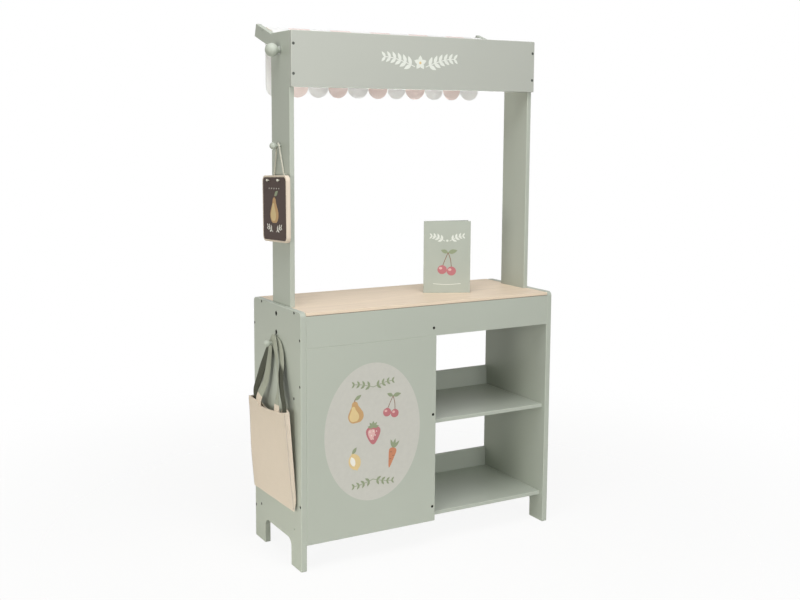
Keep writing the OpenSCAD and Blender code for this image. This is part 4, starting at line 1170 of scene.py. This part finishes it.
def webbing(name, colour):
    """Webbing in a colour that turns pale above a slanted height: painted light where the band lies on the
    peg.
    """
    finish = Finish(name)
    across, along = finish.parts(finish.flat(), 0, 1)
    zigzag = abs((across - FLAT_MIDDLE * MM) % ZIGZAG - ZIGZAG / 2)
    ribs = ((along + zigzag) * (2 * math.pi / RIB)).sine()
    place = finish.place()
    worn = finish.noise(place, 90.0, 3.0)
    y, z = finish.parts(place, 1, 2)
    # The pale tone above a slanted height near the peg is painted light on the band's top.
    low, high = LIT_TOP_FROM - LIT_TOP_BLEND, LIT_TOP_FROM + LIT_TOP_BLEND
    face = finish.fade(z - LIT_TOP_SLOPE * y, low, high, kind="SMOOTHSTEP")
    yarn = finish.shades(0.5 + 0.3 * ribs, colour, 0.82, 1.12)
    aged = finish.mix(0.35 * worn, yarn, tone(*colour, 0.75))
    return finish.surface({
        "Base Color": finish.mix(face, aged, tone(*OUTER_WEBBING)),
        "Roughness": 0.84 + 0.08 * worn,
        "Normal": finish.bump(ribs, 0.00012),
        "Sheen Weight": 0.06,
        "Specular IOR Level": 0.25,
    })


for handle, colour in zip(handles, (OUTER_WEBBING, INNER_WEBBING)):
    handle.data.materials.append(webbing(handle.name + "_webbing", colour))
tabs, tab_flat = [], []
low = [station for station in outer_route if station[2] < TAB_TOP]
for end in ([p for p in low if p[1] > 0], [p for p in low if p[1] < 0]):
    rings, flat = band(end, TAB_EXTRA_W, TAB_EXTRA_T)
    tabs.append(loft(rings))
    tab_flat += flat
maps = {"flat": tab_flat}
tab_piece = add_piece("strap_tabs", join(tabs), "bag", flat=maps, place=beside_gable)
tab_piece.data.materials.append(canvas)
print("tabs:", len(tabs))

# %% [markdown]
# The cord, its knots and the stitches are soft cotton thread with a fine fibrous grain. `mottled` also
# serves for the flat goods and the inks further on.

# %% Cotton thread
CORD_COTTON = (226, 224, 212)
STITCH_COLOURS = ((232, 222, 208), (146, 142, 148))
THREAD_GRAIN = {"grain": (1400.0, 3.0), "shades": (0.8, 1.1), "rough": (0.85, 0.1), "depth": 0.0002}
THREAD_GLOSS = {"Sheen Weight": 0.2, "Specular IOR Level": 0.2}


def mottled(name, colour, gloss, grain, shades, rough, depth, cloud=None):
    """A finish of one colour, whose shade, roughness and relief vary with noise of a scale and detail."""
    finish = Finish(name)
    place = finish.place()
    fine = finish.noise(place, *grain)
    broad = finish.noise(place, *cloud) if cloud else fine
    return finish.surface({
        "Base Color": finish.shades(broad, colour, *shades),
        "Roughness": rough[0] + rough[1] * fine,
        "Normal": finish.bump(fine, depth),
        **gloss,
    })


cord_cotton = mottled("cord_cotton", CORD_COTTON, THREAD_GLOSS, **THREAD_GRAIN)
for piece in (cord, knots):
    piece.data.materials.append(cord_cotton)
for piece, colour in zip(stitches, STITCH_COLOURS):
    piece.data.materials.append(mottled(piece.name + "_thread", colour, THREAD_GLOSS, **THREAD_GRAIN))
print("thread:", cord_cotton.name)

# %% [markdown]
# The tablet's face is a matt taupe panel, let into the wood. The card is stiff folded stock with the
# sage tint of the stall. Both are nearly plain, so the detail is in a fine tooth and faint mottling.

# %% Tablet face and card stock
TAUPE, CARD_TINT = (76, 62, 58), (178, 184, 175)
FLAT_GRAIN = {"rough": (0.62, 0.14), "depth": 0.00006, "cloud": (28.0, 3.0)}
FLAT_GLOSS = {"Specular IOR Level": 0.3}

taupe_face = mottled("taupe_face", TAUPE, FLAT_GLOSS, (900.0, 3.0), (0.88, 1.12), **FLAT_GRAIN)
card_stock = mottled("card_stock", CARD_TINT, FLAT_GLOSS, (1500.0, 3.0), (0.95, 1.05), **FLAT_GRAIN)
dress(["tablet_face"], taupe_face)
for leaf_node in ("card_front_leaf", "card_back_leaf"):
    eased(leaf_node, 0.15, card_stock, "card_stock")
print("flat goods:", taupe_face.name, card_stock.name)

# %% [markdown]
# The panel, the sign, the tablet and the card carry simple printed fruit and leaves. A print is a
# layer of ink, so each shape is a closed outline in millimetres that becomes a thin wafer, and later
# shapes reach a little higher than earlier ones. Outlines stay sharp at any distance.

# %% Outlines


def oval(x, y, half_w, half_h, steps=36):
    angles = [2 * math.pi * i / steps for i in range(steps)]
    return [(x + half_w * math.cos(a), y + half_h * math.sin(a)) for a in angles]


def turned(outline, x, y, scale, angle):
    """An outline at another place, size and angle."""
    c, s = math.cos(math.radians(angle)) * scale, math.sin(math.radians(angle)) * scale
    return [(x + u * c - v * s, y + u * s + v * c) for u, v in outline]


def leaf(x, y, length, width, angle):
    """A pointed leaf that grows from a point."""
    side = [(length * t, width / 2 * math.sin(math.pi * t**0.85)) for t in (i / 9 for i in range(10))]
    return turned(side + [(u, -v) for u, v in side[-2:0:-1]], x, y, 1.0, angle)


def line(points, width):
    """A drawn line of even width along points."""
    path = smooth_path([(*p, 0.0) for p in points], max(1.0, width))
    sides = [np.array((-f[1], f[0], 0.0)) * width / 2 for f in headings(path)]
    left = [tuple((p + s)[:2]) for p, s in zip(path, sides)]
    right = [tuple((p - s)[:2]) for p, s in zip(path, sides)]
    return left + right[::-1]


def mirrored(half):
    """A smooth closed outline from its right half, listed from the bottom up."""
    points = half + [(-x, y) for x, y in reversed(half) if x > 0]
    return [tuple(p[:2]) for p in smooth_path([(*p, 0.0) for p in points], 1.2, closed=True)]


def inked(ink_name, outlines):
    """Shapes, which are pairs of an ink and an outline, all in one ink."""
    return [(ink_name, outline) for outline in outlines]


def moved(shapes, x, y, scale, angle):
    return [(ink_name, turned(outline, x, y, scale, angle)) for ink_name, outline in shapes]


def on_side(shapes, side, x, y):
    """Shapes moved out from the middle, mirrored when the side is -1."""
    return [(ink_name, [(side * (u + x), v + y) for u, v in outline]) for ink_name, outline in shapes]


print("outlines: oval, leaf, line, mirrored")

# %% [markdown]
# Each fruit is a few outlines: a body, a lighter patch on its left where the light falls, a stalk and
# leaves. They stay flat and simple, as a small printer would screen them.

# %% Fruit


def pear():
    body = mirrored(
        [(0, -22), (10, -21), (17, -14), (18, -4), (13, 6), (8, 14), (6.5, 20), (3, 23.5), (0, 24)]
    )
    return [
        ("ochre", body),
        ("straw", [(x * 0.62 - 4.0, y * 0.7 - 3.0) for x, y in body]),
        ("umber", line([(0, 23), (1.5, 28), (4.5, 31)], 1.8)),
        ("leaf_green", leaf(1.5, 27, 18, 8, 28)),
    ]


def cherries():
    stalks = [line([(2, 22), *way], 1.4) for way in (((-4, 8), (-9, -5)), ((7, 8), (9, -8)))]
    shapes = inked("umber", stalks)
    for x, y in ((-10, -13), (9, -16)):
        shapes += [("berry", oval(x, y, 9.6, 9.2)), ("blush", oval(x - 3.2, y + 3.0, 3.4, 2.6))]
    return shapes + inked("leaf_green", [leaf(2, 22, 20, 9, 14), leaf(2, 22, 16, 8, 160)])


def carrot():
    body = mirrored([(0, -28), (2.4, -23), (6, -8), (8.6, 4), (9, 11), (6, 15), (0, 16)])
    marks = [line([(x, y), (x + 5.5, y + 0.6)], 1.0) for x, y in ((-6.5, 6), (1.0, -1), (-4.5, -9))]
    leaves = [leaf(0, 15, 21, 6.5, angle) for angle in (58, 90, 122)]
    return inked("leaf_green", leaves) + [("terracotta", body)] + inked("umber", marks)


def strawberry():
    body = mirrored([(0, -20), (6, -16), (13, -4), (15, 6), (11, 12), (5, 13.5), (0, 12.5)])
    light = [(x * 0.5 - 3.5, y * 0.6 + 0.5) for x, y in body]
    seeds = [oval(x, y, 0.8, 1.3, 10) for x, y in ((-7, 4), (0, 5), (7, 4), (-4, -3), (4, -3), (0, -10))]
    crown = [leaf(0, 12, 12, 5.5, angle) for angle in (10, 50, 90, 130, 170)]
    return [("berry", body), ("blush", light)] + inked("cream", seeds) + inked("leaf_green", crown)


def lemon():
    body = mirrored([(0, -21), (2.5, -18.5), (9, -14), (13.5, -5), (13.5, 5), (9, 13), (3, 17.5), (0, 20)])
    light = [(x * 0.4 - 4.0, y * 0.55 + 2.0) for x, y in body]
    return [("straw", body), ("cream", light), ("leaf_green", leaf(0, 18, 17, 8, 35))]


def sprig(count, length, bend, ink, width=1.5, leaf_l=11.0):
    """A bent stem with pairs of leaves, growing to the right from the origin."""
    stem = [(length * t, bend * math.sin(math.pi * t / 2)) for t in (i / 8 for i in range(9))]
    shapes = [(ink, line(stem, width))]
    for k in range(count):
        t = (k + 0.7) / count
        x, y = length * t, bend * math.sin(math.pi * t / 2)
        slope = math.degrees(math.atan2(bend * math.pi / 2 * math.cos(math.pi * t / 2), length))
        size = leaf_l * (1 - 0.35 * t)
        shapes += [(ink, leaf(x, y, size, size * 0.42, slope + side * 48)) for side in (1, -1)]
    return shapes


print("fruit: pear, cherries, carrot, strawberry, lemon, sprig")

# %% [markdown]
# Inks are thin and a little uneven, so their tone is mottled, like watercolour.

# %% Inks and printing
LAYER, UNDERSIDE, FIRST_LIFT = 0.06, 0.01, 0.02
INKS = {
    "oval_ground": (199, 198, 192), "ochre": (196, 158, 112), "straw": (220, 196, 146),
    "umber": (136, 102, 84), "leaf_green": (146, 156, 128), "berry": (186, 116, 122),
    "blush": (220, 178, 176), "terracotta": (196, 132, 100), "cream": (236, 233, 226),
    "chalk": (226, 229, 223),
}
INK_GRAIN = {"grain": (120.0, 4.0), "shades": (0.95, 1.05), "rough": (0.5, 0.12), "depth": 0.00003}
INK_GLOSS = {"Specular IOR Level": 0.35}
INK_FINISH = {
    name: mottled(name + "_ink", colour, INK_GLOSS, **INK_GRAIN) for name, colour in INKS.items()
}


def print_shapes(name, shapes, body, middle, right, up):
    """One piece that holds every shape of a print as a thin closed plate of its ink."""
    out = right.cross(up)

    def on_board(x, y, height):
        return middle + right * (x * MM) + up * (y * MM) + out * (height * MM)

    used = sorted({ink_name for ink_name, _ in shapes})
    plates, finish_of = [], []
    for level, (ink_name, outline) in enumerate(shapes, 1):
        top = FIRST_LIFT + LAYER * min(level, 4 + level * 0.04)
        plates.append(loft([[(x, y, height) for x, y in outline] for height in (UNDERSIDE, top)]))
        finish_of += [used.index(ink_name)] * len(plates[-1][1])
    piece = add_piece(name, join(plates), body, finish_of=finish_of, place=on_board)
    for ink_name in used:
        piece.data.materials.append(INK_FINISH[ink_name])
    print(name + ":", len(shapes), "shapes")


X, Y, Z = (Vector(axis) for axis in ((1, 0, 0), (0, 1, 0), (0, 0, 1)))
print("inks:", len(INKS))

# %% [markdown]
# On the front panel is a pale oval with five fruits set crosswise and four sprigs. The sign has a pair
# of chalk-white sprigs round a small flower.

# %% Panel and sign prints
OVAL_X, OVAL_Z, OVAL_HALF_W, OVAL_HALF_H = -141, 264, 109, 141.5
PANEL_FRUIT = [
    # outlines, x, y, scale, angle
    (pear(), -40, 44, 0.95, 6),
    (cherries(), 42, 48, 0.95, -4),
    (strawberry(), 0, -4, 1.1, 0),
    (lemon(), -42, -56, 0.95, 18),
    (carrot(), 43, -54, 0.95, -14),
]
panel_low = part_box("front_panel")[0]
panel_middle = Vector((at(OVAL_X, 0, 0).x, panel_low.y, at(0, 0, OVAL_Z).z))
panel_shapes = [("oval_ground", oval(0, 0, OVAL_HALF_W, OVAL_HALF_H, 120))]
for fruit in PANEL_FRUIT:
    panel_shapes += moved(*fruit)
for side in (1, -1):
    for y, bend in ((92, 9), (-98, -9)):
        panel_shapes += on_side(sprig(4, 46, bend, "leaf_green", 1.2, 13), side, 0, y)
print_shapes("panel_print", panel_shapes, "stall", panel_middle, X, Z)

sign_low, sign_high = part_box("sign_board")
sign_middle = Vector(((sign_low.x + sign_high.x) / 2, sign_low.y, (sign_low.z + sign_high.z) / 2))
sign_shapes = []
for side in (1, -1):
    sign_shapes += on_side(sprig(6, 72, 18, "chalk", 2.0, 20), side, 13, -8)
sign_shapes += inked("chalk", [leaf(0, 0, 15, 9.5, 90 + 72 * k) for k in range(5)])
sign_shapes.append(("straw", oval(0, 0, 2.8, 2.8, 20)))
print_shapes("sign_print", sign_shapes, "stall", sign_middle, X, Z)

# %% [markdown]
# The tablet hangs on its cord, a few millimetres clear of the post and slightly askew, so its print
# is laid in the tablet's own plane.

# %% Tablet print
TABLET_H, TABLET_T, TABLET_HANG = 132.0, 9.0, 58.0
POST_FACE_X, PEG_Z = -288.0, 834.0
FOOT_GAP, RUN_GAP = 6.0, 0.3
PRINT_DROP = 6.0
TABLET_LEAN = math.asin((CORD_D + 3 * RUN_GAP - FOOT_GAP) / TABLET_H)
TABLET_ROLL = math.radians(2.6)
tablet_out = Vector((-math.cos(TABLET_LEAN), 0, -math.sin(TABLET_LEAN)))
plate_up = Vector((-math.sin(TABLET_LEAN), 0, math.cos(TABLET_LEAN)))
tablet_right = -Y * math.cos(TABLET_ROLL) + plate_up * math.sin(TABLET_ROLL)
tablet_up = plate_up * math.cos(TABLET_ROLL) + Y * math.sin(TABLET_ROLL)
tablet_foot = at(POST_FACE_X - FOOT_GAP, 0, PEG_Z - TABLET_HANG - TABLET_H)
tablet_back = tablet_foot + plate_up * (TABLET_H / 2 * MM)
tablet_middle = tablet_back + tablet_out * (TABLET_T * MM) - tablet_up * (PRINT_DROP * MM)
tablet_shapes = moved(pear(), 0, 2, 1.1, 0)
for side in (1, -1):
    tablet_shapes += on_side(sprig(3, 26, 10, "cream", 1.3, 11), side, 8, -40)
tablet_shapes += inked("cream", [oval(x, 46, 1.3, 1.3, 14) for x in (-24, -12, 0, 12, 24)])
print_shapes("tablet_print", tablet_shapes, "tablet", tablet_middle, tablet_right, tablet_up)

# %% [markdown]
# The card's print lies on the front leaf, which stands turned to the left.

# %% Card print
CARD_TURN = math.radians(-25)
CARD_FOLD = (43.5, -1.0, 517.0)
CARD_HALF_W, CARD_FACE, CARD_MIDDLE_UP = 50.65, 0.95, 78.0
card_right = Vector((math.cos(CARD_TURN), math.sin(CARD_TURN), 0))
card_out = card_right.cross(Z)
from_fold = card_right * (CARD_HALF_W * MM) + card_out * (CARD_FACE * MM) + Z * (CARD_MIDDLE_UP * MM)
card_middle = at(*CARD_FOLD) + from_fold
card_shapes = moved(cherries(), 0, -14, 1.05, 0)
for side in (1, -1):
    card_shapes += on_side(sprig(4, 30, 11, "chalk", 1.3, 12), side, 5, 34)
card_shapes.append(("chalk", oval(0, 35, 2.6, 2.6, 20)))
card_shapes.append(("chalk", line([(-30, -58), (0, -60), (30, -58)], 1.2)))
print_shapes("card_print", card_shapes, "card", card_middle, card_right, Z)
